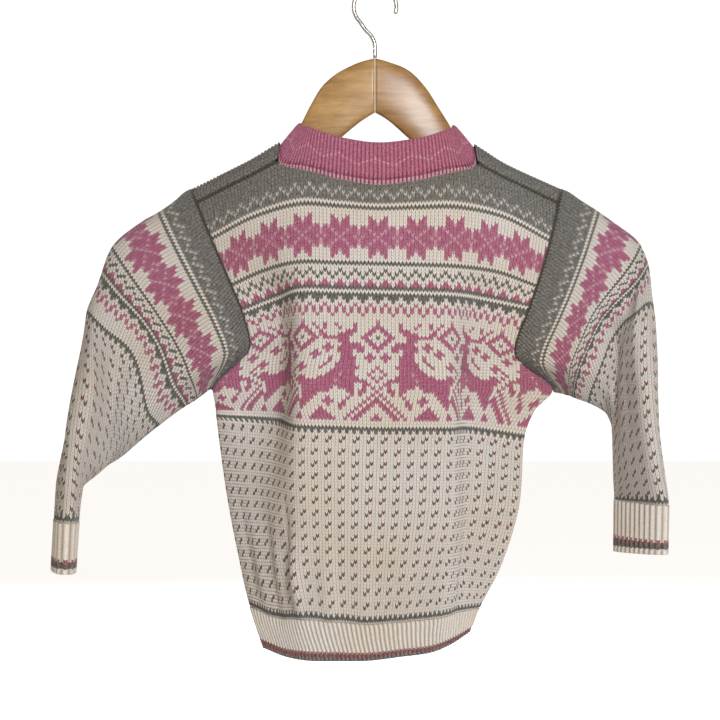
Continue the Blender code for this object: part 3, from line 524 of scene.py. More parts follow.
def sleeve_ring(row, table, side, shares):
    """A flattened ring between the sleeve's two folds, square to its run."""
    reach_rows = 3
    here, before, after = (steady(at, table)[0] for at in (row, max(row - reach_rows, 0), row + reach_rows))
    axis = unit((after[0:3] + after[3:6]) - (before[0:3] + before[3:6]))
    toward = unit(np.cross(here[0:3] - here[3:6], axis)) * side * here[6]
    centre, reach = (here[0:3] + here[3:6]) / 2, (here[0:3] - here[3:6]) / 2
    angle = np.linspace(0, math.pi, 49)[:, None]
    x = np.sign(np.cos(angle)) * np.abs(np.cos(angle)) ** RING_POWER
    y = np.abs(np.sin(angle)) ** RING_POWER
    return halves(centre + reach * x + toward * y, centre + reach * x - toward * y, shares)


class Sleeve:
    """A sleeve's smooth form as a fine grid, rows down and shares round, which place() reads."""

    def __init__(self, side):
        table = np.asarray(SLEEVE_LEFT if side == 1 else SLEEVE_RIGHT, float)
        self.rows = np.arange(0, CUFF_END_ROW + 0.1, 1.0)
        self.shares = np.linspace(0, 1, 241)
        self.under = halves(*armhole(side, TUCK_SHARE, TUCK_DEPTH), self.shares)
        own = halves(*armhole(side), self.shares) - sleeve_ring(0.0, table, side, self.shares)
        grid = np.array([sleeve_ring(row, table, side, self.shares) + own * steady(row, table)[0, 7]
                         for row in self.rows])
        normals = self.normals(grid)
        height = np.zeros(grid.shape[:2])
        for place, first, last, out, half in SLEEVE_FOLDS_LEFT if side == 1 else SLEEVE_FOLDS_RIGHT:
            t = np.clip((self.rows - first) / (last - first), 0, 1)
            gap = np.abs(self.shares - place)
            across = bell(np.minimum(gap, 1 - gap), 0, half)
            height += out * (np.sin(math.pi * t) ** CREASE_ENDS)[:, None] * across
        seam_swell = 1.1 * bell(self.rows, 2.5, 2.0) - 0.5 * bell(self.rows, 0, 0.8)
        height += seam_swell[:, None]
        self.grid = grid + normals * height[:, :, None]
        self.out = self.normals(self.grid)
        self.girth = np.linalg.norm(np.diff(grid, axis=1), axis=2).sum(axis=1)

    @staticmethod
    def normals(grid):
        across = np.empty_like(grid)
        across[:, 1:-1] = grid[:, 2:] - grid[:, :-2]
        across[:, 0] = across[:, -1] = grid[:, 1] - grid[:, -2]
        normals = unit(np.cross(np.gradient(grid, axis=0), across))
        centre = grid[:, :-1].mean(axis=1, keepdims=True)
        return normals * np.sign(np.sum(normals * (grid - centre), axis=2).mean())

    def place(self, rows, shares):
        i = np.clip(rows.astype(int), 0, len(self.rows) - 2)
        u = np.clip(rows - i, 0, 1)[..., None]
        at = np.mod(shares, 1.0) * (len(self.shares) - 1)
        j = np.clip(at.astype(int), 0, len(self.shares) - 2)
        v = (at - j)[..., None]
        points, normals = (between(grid, i, j, u, v) for grid in (self.grid, self.out))
        under = self.under[j] * (1 - v) + self.under[j + 1] * v
        tuck = np.clip(-rows, 0, 1)[..., None]
        return points * (1 - tuck) + under * tuck, unit(normals)


# ---- yarn patterns: each gives a yarn's number for arrays of pattern rows and stitch columns. In the charts
# P is pink, p pale pink, g grey and a point cream

# ten stitches wide, from column -4 to column 5; its lower half mirrors the upper one
STAR = (
    "..P...P...",
    "..PP.PP...",
    "..PPpPP...",
    "PpPPPPPpP.",
    "PPpPPPpPPp",
    "PPPpPpPPPp",
    "pPPPpPPPpP",
)
STAR += STAR[-2::-1]
# half of the reindeer repeat: column 0 is the middle of a lozenge, column 20 is the next one's
REINDEER = (
    "p...................",
    "P.....P....P..P..P..",
    "PP....P...P...P.P..P",
    ".PP...PPP......P..PP",
    "..PP...PPPP...PP.PP.",
    "g..PP...PPPPPPP.PP..",
    "..PP....PPP......PP.",
    ".PP..PPPPP...P....PP",
    "PP..PPPPPPP.PPP....P",
    "P...PP.PPPP..P..P...",
    "..P....PPP.....PPP..",
    ".PPP..PPPP..P...P...",
    "..P...PPPP..P.......",
    "......PPPPP..P.....P",
    "P....PPPPPP...P...PP",
    ".P....PPPPPP.......P",
    "..P...PPPpPPP.......",
    ".P...PPPPPPPPPP...PP",
    "P..PPPPPPPpPPPPPPPPP",
    "..PP..PPPPPPPPPPPPPP",
    ".P.P..PPPP.PPPPPPPP.",
    "P..PP.PP....PPPPPPP.",
    ".P..P.P........PPPP.",
    "P.P....P....P...PPP.",
    "PP.P....P..PPP...PPP",
    ".PP.P...PP..P.....PP",
    "..PP.P...P....P....P",
    "...PP.P......PPP....",
    "P...PP.P....PPPPP...",
    "PP...PP.P..PPPPPPP..",
)


def chart(rows):
    return np.array([[".Pgp".index(letter) for letter in row] for row in rows])


STAR_CHART, REINDEER_CHART = chart(STAR), chart(REINDEER)
STAR_TOP, REINDEER_TOP = 10, 41


def yoke(t, c):
    """The yoke from the neck down, t rows under it, down to the lice."""
    tone = np.full(t.shape, CREAM)
    four, odd = np.mod(c, 4), np.mod(c, 2) == 1

    def put(rows, yarn, where=True):
        tone[np.isin(t, rows) & where] = yarn

    def zigzag(row, yarn):
        for down, where in enumerate((four == 2, odd, four == 0)):
            put([row + down], yarn, where)

    put(np.arange(-40, 6), GREY)
    zigzag(2, LIGHT)
    put([7, 24], LINE)
    star = (t >= STAR_TOP) & (t < STAR_TOP + len(STAR))
    tone[star] = STAR_CHART[np.clip(t - STAR_TOP, 0, len(STAR) - 1), np.mod(c + 4, 10)][star]
    zigzag(26, LINE)
    put([29], PINK, four == 2)
    put([30], PINK, four != 0)
    put([31, 33], LINE)
    put([34], LINE, four != 2)
    put([35], LINE, four == 0)
    put([36], PINK, four == 2)
    put([37, 38], PINK, odd)
    put([39], PINK, (four == 0) & (c != 0))
    deer = (t >= REINDEER_TOP) & (t < REINDEER_TOP + len(REINDEER))
    tone[deer] = REINDEER_CHART[np.clip(t - REINDEER_TOP, 0, len(REINDEER) - 1), np.mod(np.abs(c), 20)][deer]
    return tone


def lice(t, c):
    """A grey stitch with a pink one beside and above it, every fourth stitch and row."""
    tone = np.full(t.shape, CREAM)
    tone[(np.mod(t, 4) == 1) & (np.mod(c, 4) == 2)] = LINE
    tone[(np.mod(t, 4) == 0) & (np.mod(c, 4) == 1)] = MAUVE
    return tone


def lines(tone, t, c, yoke_end, rib):
    """The toothed line under the yoke and the one over the rib."""
    toothed = np.where(np.mod(c, 2) == 0, LINE, CREAM)
    tone[t == yoke_end] = LINE
    for row in (yoke_end + 1, rib - 1):
        tone[t == row] = toothed[t == row]
    tone[t >= rib] = LINE
    tone[t >= rib + 1] = CREAM
    return tone


def body_tone(t, c):
    return lines(np.where(t < 75, yoke(t, c), lice(t, c)), t, c, 73, 133)


def sleeve_tone(s, c):
    """The same down a sleeve, s rows from the armhole's seam."""
    tone = np.where(s <= 44, yoke(s - 5, c), CREAM)
    tone = lines(np.where(s >= 52, lice(s, c), tone), s, c, 49, 107)
    # the armhole's seam row is painted shadow
    tone[s <= 0] = SEAM_SHADOW
    return tone


# ---- materials

def node_maker(material):
    """A function that adds a node, with its inputs set to values or linked to other nodes' outputs."""
    material.use_nodes = True
    tree = material.node_tree
    tree.nodes.clear()

    def make(kind, inputs=(), **settings):
        node = tree.nodes.new("ShaderNode" + kind)
        for name, value in settings.items():
            setattr(node, name, value)
        for key, value in dict(inputs).items():
            if isinstance(value, bpy.types.NodeSocket):
                tree.links.new(value, node.inputs[key])
            else:
                node.inputs[key].default_value = value
        return node

    return make


def new_material(name):
    material = bpy.data.materials.new(name)
    make = node_maker(material)
    return material, make, make("TexCoord").outputs["Object"]


def noise(make, place, scale, detail, **more):
    return make("TexNoise", {"Vector": place, "Scale": scale, "Detail": detail, **more}).outputs["Fac"]


def worked(make, operation, *values):
    """What one sum on these values gives."""
    return make("Math", dict(enumerate(values)), operation=operation).outputs[0]


def spread(make, value, low, high, to_low=0.0, to_high=1.0):
    """The value, with low to high drawn out over another range."""
    return make("MapRange", {"Value": value, "From Min": low, "From Max": high, "To Min": to_low,
                             "To Max": to_high}).outputs[0]


def mixed(make, share, first, second, blend="MIX"):
    return make("Mix", {0: share, 6: first, 7: second}, data_type="RGBA", blend_type=blend).outputs[2]


def scaled(make, colour, share):
    return make("VectorMath", {0: colour, 1: share}, operation="MULTIPLY").outputs[0]


def shaded(make, height, bump, distance, inputs):
    """A principled surface with a bump of this height."""
    raised = make("Bump", {"Height": height, "Strength": bump, "Distance": distance})
    shader = make("BsdfPrincipled", {"Normal": raised.outputs[0], **inputs})
    make("OutputMaterial", {"Surface": shader.outputs[0]})


WARM = (0.88, 0.72, 0.47, 1.0)  # the wool's warmer places
PAINTED_CREVICE_SHADE = (0.36, 0.29, 0.22, 1.0)  # painted shade: what is left of the colour between two stitches
COLUMN_GAP = 0.45  # how much deeper the painted shade in the gap between two columns is than in a stitch's middle
STITCH_TOP = 0.85  # the height from which a stitch has its full colour, with no painted shade
FINE_FLECKS, FLECKS, LARGE_FLECKS = 900.0, 520.0, 500.0  # noise scales, the higher the finer
PATCHES = 11.0  # the warmer places' scale


def yarn(name, colour, shade, light, flecks=LARGE_FLECKS, warmth=0.5):
    """Wool: flecks of the shade and the light colour, warmer places, and painted shade between the stitches.
    """
    material, make, place = new_material(name)
    fibre = noise(make, place, flecks, 2.0, Roughness=0.6)
    flecked = make("ValToRGB", {0: spread(make, fibre, 0.34, 0.66)})
    stops = flecked.color_ramp.elements
    stops.new(0.5)
    for stop, tone in zip(stops, (shade, colour, light)):
        stop.color = (*tone, 1)
    patch = noise(make, place, PATCHES, 2.0, Roughness=0.5)
    warm = spread(make, patch, 0.32, 0.70, warmth * 0.3, warmth)
    tinted = mixed(make, warm, flecked.outputs[0], WARM, "MULTIPLY")
    across, down = make("SeparateXYZ", {0: make("UVMap", uv_map="stitch").outputs[0]}).outputs[:2]
    waves = []
    for socket, turns in ((down, 1.0), (across, 2.0), (across, 1.0)):
        turn = worked(make, "MULTIPLY", socket, turns * math.pi)
        waves.append(worked(make, "ABSOLUTE", worked(make, "SINE", turn)))
    soft = worked(make, "POWER", worked(make, "MULTIPLY", waves[0], waves[1]), 0.5)
    border = worked(make, "POWER", waves[2], 6.0)
    gap = worked(make, "MULTIPLY_ADD", border, -COLUMN_GAP, soft)
    # painted shade: the colour darkens towards the crevice shade where the stitch coordinates fall between
    # stitches
    crevice_shade_colour = mixed(make, 1.0, tinted, PAINTED_CREVICE_SHADE, "MULTIPLY")
    toned = mixed(make, spread(make, gap, -COLUMN_GAP, STITCH_TOP), crevice_shade_colour, tinted)
    height = worked(make, "MULTIPLY_ADD", fibre, 0.35, soft)
    shaded(make, height, 0.6, 0.0007, {"Base Color": toned, "Roughness": 0.92, "Specular IOR Level": 0.15,
                                       "Sheen Weight": 0.2, "Sheen Roughness": 0.5})
    return material


YARNS = [
    yarn("cream_wool", (0.83, 0.80, 0.785), (0.73, 0.70, 0.67), (0.91, 0.90, 0.895), FINE_FLECKS, 0.42),
    yarn("pink_wool", (0.485, 0.16, 0.285), (0.38, 0.10, 0.20), (0.63, 0.28, 0.42), FINE_FLECKS, 0.4),
    yarn("grey_wool", (0.22, 0.222, 0.217), (0.145, 0.146, 0.142), (0.30, 0.302, 0.298), FLECKS, 0.35),
    yarn("pale_pink_wool", (0.62, 0.33, 0.45), (0.50, 0.22, 0.33), (0.76, 0.52, 0.62), FINE_FLECKS, 0.4),
    yarn("light_grey_wool", (0.50, 0.50, 0.49), (0.39, 0.39, 0.38), (0.62, 0.62, 0.61), FLECKS, 0.35),
    yarn("mauve_wool", (0.24, 0.115, 0.135), (0.18, 0.08, 0.095), (0.31, 0.17, 0.20)),
    yarn("wine_wool", (0.30, 0.135, 0.15), (0.21, 0.085, 0.095), (0.40, 0.21, 0.23)),
    yarn("rose_wool", (0.34, 0.10, 0.19), (0.24, 0.055, 0.12), (0.46, 0.19, 0.30)),
    yarn("dark_grey_wool", (0.165, 0.168, 0.16), (0.11, 0.113, 0.107), (0.23, 0.233, 0.225), FLECKS, 0.35),
    # near-black: painted shadow along the seams
    yarn("seam_painted_shadow_wool", (0.085, 0.083, 0.077), (0.06, 0.058, 0.053), (0.12, 0.118, 0.11), FLECKS),
]


def wood(name, colour, dark):
    """Varnished wood with its grain along the arm."""
    material, make, place = new_material(name)
    stretched = make("Mapping", {"Vector": place, "Scale": (12.0, 90.0, 90.0), "Rotation": (0.0, 0.5, 0.0)})
    grain = noise(make, stretched.outputs[0], 2.0, 5.0, Distortion=0.6)
    fine = noise(make, stretched.outputs[0], 14.0, 3.0)
    line = spread(make, grain, 0.35, 0.65)
    spot = spread(make, fine, 0.3, 0.7, 0.86, 1.06)
    toned = scaled(make, mixed(make, line, (*dark, 1), (*colour, 1)), spot)
    shaded(make, fine, 0.15, 0.0004, {"Base Color": toned, "Roughness": 0.42, "Coat Weight": 0.3,
                                      "Coat Roughness": 0.25})
    return material


def hard(name, colour, roughness, metallic, specks):
    """Metal or plastic with faint unevenness."""
    material, make, place = new_material(name)
    speck = noise(make, place, specks, 4.0)
    tone = spread(make, speck, 0.3, 0.7, 0.94, 1.06)
    rough = spread(make, speck, 0.0, 1.0, roughness - 0.06, roughness + 0.08)
    toned = scaled(make, colour, tone)
    shaded(make, speck, 0.1, 0.0003, {"Base Color": toned, "Roughness": rough, "Metallic": metallic})
    return material


# ---- meshes

def add_mesh(name, points, faces, tones, uvs, materials):
    """points n by 3 in mm, faces m by 4, tones per face, uvs m by 4 by 2. Points in one place are joined, and
    faces that shrink to a line are left out."""
    _, first, index = np.unique(np.round(points, 2), axis=0, return_index=True, return_inverse=True)
    faces, points = index.reshape(-1)[faces], points[first]
    repeated = faces == np.roll(faces, -1, axis=1)
    crossed = (faces[:, 0] == faces[:, 2]) | (faces[:, 1] == faces[:, 3])
    whole = ~repeated.any(axis=1) & ~crossed
    cut = (repeated.sum(axis=1) == 1) & ~crossed
    keep = np.sort(np.argsort(repeated[cut], axis=1, kind="stable")[:, :3], axis=1)
    corners = np.concatenate([faces[whole].ravel(), np.take_along_axis(faces[cut], keep, 1).ravel()])
    cut_uvs = np.take_along_axis(uvs[cut], keep[..., None], 1)
    corner_uvs = np.concatenate([uvs[whole].reshape(-1, 2), cut_uvs.reshape(-1, 2)])
    sizes = np.concatenate([np.full(whole.sum(), 4), np.full(cut.sum(), 3)])
    starts = np.concatenate([[0], np.cumsum(sizes)[:-1]])
    slots = np.concatenate([tones[whole], tones[cut]])
    mesh = bpy.data.meshes.new(name)
    mesh.vertices.add(len(points))
    mesh.vertices.foreach_set("co", (points * MM).astype(np.float32).ravel())
    mesh.loops.add(len(corners))
    mesh.loops.foreach_set("vertex_index", corners.astype(np.int32))
    mesh.polygons.add(len(sizes))
    mesh.polygons.foreach_set("loop_start", starts.astype(np.int32))
    mesh.polygons.foreach_set("material_index", slots.astype(np.int32))
    mesh.polygons.foreach_set("use_smooth", np.ones(len(sizes), bool))
    mesh.uv_layers.new(name="stitch").data.foreach_set("uv", corner_uvs.astype(np.float32).ravel())
    mesh.update(calc_edges=True)
    mesh.validate()
    for material in materials:
        mesh.materials.append(material)
    obj = bpy.data.objects.new(name, mesh)
    bpy.context.scene.collection.objects.link(obj)
    return obj


def add_grid(name, points, u, v, tones, materials, closed=False, flip=False):
    """A mesh over a grid of points, with stitch coordinates u and v per point and a tone per face."""
    if closed:
        points, u, v = (np.concatenate([each, each[:, :1]], axis=1) for each in (points, u, v))
    rows, width = points.shape[:2]
    i, j = np.meshgrid(np.arange(rows - 1), np.arange(width - 1), indexing="ij")
    here, below = i * width + j, (i + 1) * width + j
    faces = np.stack([here, here + 1, below + 1, below], axis=2).reshape(-1, 4)
    if flip:
        faces = faces[:, ::-1]
    uvs = np.stack([u.ravel()[faces], v.ravel()[faces]], axis=2)
    return add_mesh(name, points.reshape(-1, 3), faces, np.asarray(tones).ravel(), uvs, materials)


def add_tube(name, rings, material, flip=False):
    """A closed tube over rings of places, in one material."""
    grid = np.array(rings)
    count, sides = grid.shape[:2]
    u, v = np.meshgrid(np.arange(float(sides)), np.arange(float(count)))
    return add_grid(name, grid, u, v, np.zeros((count - 1, sides), int), [material], True, flip)


def relief(off):
    """How far a stitch stands out, by its distance from the middle: most halfway up the V's legs."""
    return RELIEF * (np.sin(2 * math.pi * off) ** 2 - 0.5)


def knit(name, columns, rows, edges, place, tone, flip):
    """A sheet of knit stitches, four faces wide each. columns and rows are the first and last stitch and row,
    edges(row) the lowest and highest column there, place(row, level, column) the smooth cloth and its normal,
    tone(row, column) the yarn."""
    across = np.arange(columns[0] * 4 - 2, columns[1] * 4 + 3) / 4
    down = np.arange(rows[0], rows[1] + 2) - 0.5
    u, v = np.meshgrid(across, down)
    low, high = edges(v)
    held = np.clip(u, low, high)
    off = np.abs(held - np.round(held))
    points, normals = place(v + SLANT * (1 - 4 * off), v, held)
    points = points + normals * relief(off)[..., None]
    stitch = np.floor((across[:-1] + across[1:]) / 2 + 0.5).astype(int)
    row, column = np.meshgrid(np.arange(rows[0], rows[1] + 1), stitch, indexing="ij")
    return add_grid(name, points, held, v + 0.5, tone(row, column), YARNS, flip=flip)


def stand_for(obj, node):
    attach(obj, "root")
    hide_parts(node)
    return obj


# ---- the knitted panels

def sink_under(rows, top):
    """How far the cloth has sunk under the rib that begins at the top row."""
    return END_SINK * ramp(rows, top - 0.5, top + 0.3)


def panel(node, face, top_rows, low, high):
    """The back or a front, from its neck edge and shoulder seam to the rib, between two shares."""
    is_back = face == "back"
    sign = 1 if is_back else -1
    first_row, seam_row = 4 if is_back else -5, 5 * sign

    def edges(rows):
        level = np.clip(np.abs(rows), 0, HEM_TOP_ROW)
        one, other = (stitches_to_edge(level, positive, FIGURES_IN_STITCHES) for positive in (True, False))
        return low * (one if low > 0 else other), high * (one if high > 0 else other)

    def place(rows, level, columns):
        level = np.abs(level)
        to_edge = stitches_to_edge(np.clip(level, 0, HEM_TOP_ROW), columns >= 0, FIGURES_IN_STITCHES)
        share = np.clip(columns / to_edge, low, high)
        crowd = np.interp(level, *np.transpose(CROWDING)) * (share > 0) * is_back
        share = share + crowd * share * (1 - share)
        top = np.interp(np.abs(share) + (0.0 if is_back else SHOULDER_TUCK), *np.transpose(top_rows))
        tuck = np.clip(top - rows, 0, NECK_TUCK) * is_back
        rows = np.clip(np.maximum(rows, top - tuck), -SEAM_ROW, HEM_TOP_ROW + UNDER_RIB)
        points, normals = cloth(rows, share, face)
        seam = ramp(np.abs(rows - SEAM_ROW * sign), 0.9, 0) * (np.abs(share) > SEAM_SHARE)
        side = ramp(np.abs(share), 0.985, 1.0) * ramp(rows, UNDERARM_ROW, UNDERARM_ROW - 4)
        sink = (NECK_SINK * np.minimum(tuck / NECK_TUCK, 1.0) + sink_under(rows, HEM_TOP_ROW)
                + SEAM_SINK * seam + SIDE_SINK * side)
        edge = (np.abs(share) > 0.9999) & (rows > UNDERARM_ROW)
        apart = np.array([0.0, SIDE_GAP * sign, 0.0]) * edge[..., None]
        return points - normals * sink[..., None] + apart, normals

    def tone(row, column):
        made = body_tone(row - YOKE_ROW, column)
        # the shoulder seam's row is painted shadow
        made[(row == seam_row) & (np.abs(column) > SEAM_COLUMN)] = SEAM_SHADOW
        return made

    last_row = int(HEM_TOP_ROW)
    obj = knit("knit_" + node, BODY_COLUMNS, (first_row, last_row), edges, place, tone, not is_back)
    return stand_for(obj, node)


def sleeve(word, side):
    form = Sleeve(side)

    def half_girth(rows):
        return np.interp(rows, form.rows, form.girth) / 2 / STITCH

    def edges(rows):
        half = half_girth(np.clip(rows, 0, CUFF_TOP_ROW))
        return -half, half

    def pull(rows, behind):
        """How many rows the knit is drawn down between the armhole and the cuff."""
        if side == 1:
            return (4.5 * bell(behind, 0.23, 0.11) - 2.0 * bell(behind, 0.40, 0.06)) * ramp(rows, 22, 48)
        return 10.5 * ramp(behind, 0.04, 0.25) * ramp(behind, 0.72, 0.5) * ramp(rows, 15, 44)

    def place(rows, level, columns):
        rows = np.clip(rows, -1.0, CUFF_TOP_ROW + UNDER_RIB)
        share = np.clip(columns / half_girth(np.clip(level, 0, CUFF_TOP_ROW)), -1, 1) / 2
        rows = rows - pull(rows, np.mod(share, 1.0)) * ramp(rows, 106, 62)
        points, normals = form.place(rows, share)
        return points - normals * sink_under(rows, CUFF_TOP_ROW)[..., None], normals

    rows = 0, int(CUFF_TOP_ROW)
    obj = knit("knit_sleeve_" + word, SLEEVE_COLUMNS, rows, edges, place, sleeve_tone, side == -1)
    stand_for(obj, "sleeve_" + word)
    return form, obj


# ---- the ribs

def rib_profile(u):
    """Height over the cloth of a knit-one-purl-one rib at u, with the rib at whole numbers."""
    off = np.abs(u - np.round(u))
    return RIB_OUT * (np.clip(1 - (off / 0.40) ** 2.5, 0, 1) - 0.3)


def rib_coordinates(off, rows):
    """Stitch coordinates that give a rib painted shade between its columns and a little between its rows."""
    return np.broadcast_arrays(0.25 + 0.5 * off, 0.5 + 0.3 * np.cos(2 * math.pi * rows))


def ribbed(name, count, levels, place, tone, closed, flip, per_rib=6):
    """A ribbed band. levels are (row, depth) pairs from the top of its outer side round the edge to its inner
    side, and place(row, share) gives the smooth cloth and its normal."""
    steps = count * per_rib
    share = np.arange(steps) / steps if closed else np.linspace(0, 1, steps + 1)
    u = np.broadcast_to(share * count + (0 if closed else 0.5), (len(levels), len(share)))
    rows, depth = (column[:, None] for column in np.transpose(levels))
    off = np.abs(u - np.round(u))
    slant = RIB_SLANT * (1 - 4 * np.minimum(off, 0.25)) * (np.abs(depth) < 0.01)
    points, normals = place(np.clip(rows + slant, rows.min(), rows.max()), np.broadcast_to(share, u.shape))
    on_edge, within = 0.5 * rib_profile(u), -0.7 * rib_profile(u + 0.5)
    out = np.where(depth > -0.01, rib_profile(u), np.where(depth > 0.01 - CLOTH_THICK, on_edge, within))
    points = points + normals * (depth + out)[..., None]
    centre = u[:-1] + 0.5 / per_rib if closed else (u[:-1, 1:] + u[:-1, :-1]) / 2
    beside = np.abs(centre - np.round(centre))
    middle = np.broadcast_to((rows[:-1] + rows[1:]) / 2, centre.shape)
    inside = np.broadcast_to((depth[:-1] + depth[1:]) / 2 < -0.5, centre.shape)
    tones = tone(middle, beside, inside)
    return add_grid(name, points, *rib_coordinates(off, rows), tones, YARNS, closed, flip)


def rim_levels(top, bottom):
    """Rows down the outer side, round the lower edge and up the inner side."""
    outer = [(row, 0.0) for row in np.arange(top, bottom - 0.3, 0.5)]
    edge = [(bottom - 0.1, -0.1), (bottom, -0.6), (bottom, -CLOTH_THICK + 0.5), (bottom - 0.2, -CLOTH_THICK)]
    inner = [(row, -CLOTH_THICK) for row in np.arange(bottom - 1, top, -1.0)]
    return outer + edge + inner + [(top, 0.0)]


def wine_stripe(row, beside, first, full, last):
    """Cream with a wine stripe from the row full to last, and dots of it on the ribs from first."""
    made = np.full(row.shape, CREAM)
    made[(row > first) & (row < full) & (beside < RIB_DOT)] = WINE
    made[(row > full) & (row < last)] = WINE
    return made


def hem_form():
    """The welt's smooth form from band to band round the back: its rows, places and normals."""
    front, back = np.linspace(BAND_SHARE - 0.003, 1, 60), np.linspace(1, -1, 140)
    rows = np.arange(HEM_TOP_ROW, HEM_END_ROW + 0.01, 1.0)
    grid = []
    for row in rows:
        parts = [cloth(row, front, "front")[0], cloth(row, back, "back")[0][1:-1],
                 cloth(row, -front[::-1], "front")[0]]
        grid.append(along(np.concatenate(parts), np.linspace(0, 1, HEM_CELLS + 1)))
    grid = np.array(grid)
    normals = unit(np.cross(np.gradient(grid, axis=0), np.gradient(grid, axis=1)))
    return rows, grid, normals * np.sign(normals[5, HEM_CELLS // 2, 1])


def hem_rib():
    rows, grid, normals = hem_form()

    def place(at, shares):
        i = np.clip((at - rows[0]).astype(int), 0, len(rows) - 2)
        u = np.clip(at - rows[0] - i, 0, 1)[..., None]
        j = np.clip((shares * HEM_CELLS).astype(int), 0, HEM_CELLS - 1)
        v = (shares * HEM_CELLS - j)[..., None]
        return between(grid, i, j, u, v), unit(between(normals, i, j, u, v))

    def tone(row, beside, inside):
        made = wine_stripe(row, beside, *HEM_STRIPE)
        made[(row >= HEM_STRIPE[-1]) | (inside & (row > 155.5))] = GREY
        made[(row >= 157.4) & ~inside] = LINE
        return made

    obj = ribbed("rib_hem", HEM_RIBS, rim_levels(HEM_TOP_ROW, HEM_END_ROW), place, tone, False, True)
    return stand_for(obj, "hem_rib")


def cuff(word, form):
    def tone(row, beside, inside):
        made = wine_stripe(row, beside, *CUFF_STRIPE)
        made[(row >= CUFF_STRIPE[-1]) & (row < 122.3)] = LINE
        return made

    levels = rim_levels(CUFF_TOP_ROW + 0.1, CUFF_END_ROW)
    obj = ribbed("rib_cuff_" + word, CUFF_RIBS, levels, form.place, tone, True, word == "right", per_rib=8)
    return stand_for(obj, "cuff_" + word)


# ---- the collar

def neck_line(side):
    """The neck's edge from the middle of the back over the shoulder ridge to the middle of the front."""
    back, front = np.linspace(0, 0.55, 22), np.linspace(0.53, 0.002, 26)
    ridge = np.linspace(-SEAM_ROW + 0.8, 0, 6)
    return np.concatenate([
        cloth(np.interp(back, *np.transpose(BACK_TOP)), back * side, "back")[0],
        cloth(ridge, side * np.interp(ridge, [-SEAM_ROW, 0], [0.556, 0.54]), "front")[0],
        cloth(np.interp(front, *np.transpose(FRONT_TOP)), front * side, "front")[0]])


def collar_base():
    """Places along the collar's base from its left end round to its right one, its rise and outer side."""
    shoulder, smoothings = 24, 4
    left, right = neck_line(1), neck_line(-1)
    line = np.concatenate([left[::-1], right[1:]])
    round_half = np.interp(np.arange(len(left)), [0, shoulder, len(left) - 1], [0, 1, 2])
    round_all = np.concatenate([-round_half[::-1], round_half[1:]])
    length = lengths(line)
    at = np.linspace(0, 1, COLLAR_PLACES) * length[-1]
    base, place = read_at(at, length, line), np.interp(at, length, round_all)
    rise = steady(np.abs(place), COLLAR_RISE)
    lift = np.stack([rise[:, 0] * np.sign(place), rise[:, 1], rise[:, 2]], axis=1)
    for _ in range(smoothings):
        base[1:-1] = (base[:-2] + 2 * base[1:-1] + base[2:]) / 4
    turned = [COLLAR_OUT * np.sign(place), 0.0 * place, COLLAR_DOWN + 0.0 * place]
    base = base + bell(np.abs(place), COLLAR_END, COLLAR_END_WIDTH)[:, None] * np.stack(turned, axis=1)
    out = unit(np.cross(unit(np.gradient(base, axis=0)), lift))
    out *= np.sign(np.sum(out * (base - base.mean(axis=0)), axis=1).mean())
    return base, lift, out


def collar_tone(height, rib):
    """Pink with rose between the lower ribs, a pale zigzag, and pale dots and a rose line at the base."""
    beside = np.abs(rib - np.round(rib))
    peak = np.abs(np.mod((rib - COLLAR_RIBS / 2) / ZIGZAG_RIBS, 1) - 0.5) * 2
    tone = np.full(height.shape, PINK)
    tone[(height < 0.20) & (beside > 0.3)] = ROSE
    tone[(np.abs(height - (0.40 + 0.20 * peak)) < 0.022) & (beside < 0.34)] = PALE
    tone[(height < 0.055) & (beside < 0.26)] = PALE
    tone[(height > 0.06) & (height < 0.12)] = ROSE
    return tone


def collar():
    """The doubled band: a ribbed outer wall, a rounded top and an inner wall."""
    base, lift, out = collar_base()
    half = COLLAR_THICK / 2
    start = base + unit(lift) * COLLAR_GAP - out * (half - 1.0)
    fine = np.linspace(0, COLLAR_PLACES - 1, COLLAR_RIBS * 6 + 1)
    start, lift, out = (read_at(fine, np.arange(COLLAR_PLACES), each) for each in (start, lift, out))
    out = unit(out)
    up = np.linspace(-0.07, 1, 33)
    full = np.interp(up, [-0.07, 0, 0.06, 0.45, 0.88, 0.96, 1.0], [0.1, 0.75, 1.0, 1.08, 0.95, 0.75, 0.3])
    u = np.linspace(0, COLLAR_RIBS, len(fine)) + 0.5
    off = np.abs(u - np.round(u))
    ribs = COLLAR_RIB_OUT * np.cos(math.pi * off) ** 0.7
    outer, inner = [], []
    for h, f in zip(up, full):
        outer.append(start + lift * h + out * (half * f + ribs * min(f, 1) - 0.35)[:, None])
        inner.append(start + lift * h - out * (half * f + ribs * min(f, 1) * 0.5)[:, None])
    points = np.array(outer + inner[::-2])
    rows = np.concatenate([np.arange(len(outer)), np.arange(len(inner[::-2]))])[:, None] / 2
    height, rib = np.meshgrid((up[:-1] + up[1:]) / 2, (u[:-1] + u[1:]) / 2, indexing="ij")
    plain = np.full((len(points) - len(outer), len(u) - 1), PINK)
    tones = np.concatenate([collar_tone(height, rib), plain])
    obj = add_grid("rib_collar", points, *rib_coordinates(off, rows), tones, YARNS)
    return stand_for(obj, "collar")


# ---- the front bands and buttons

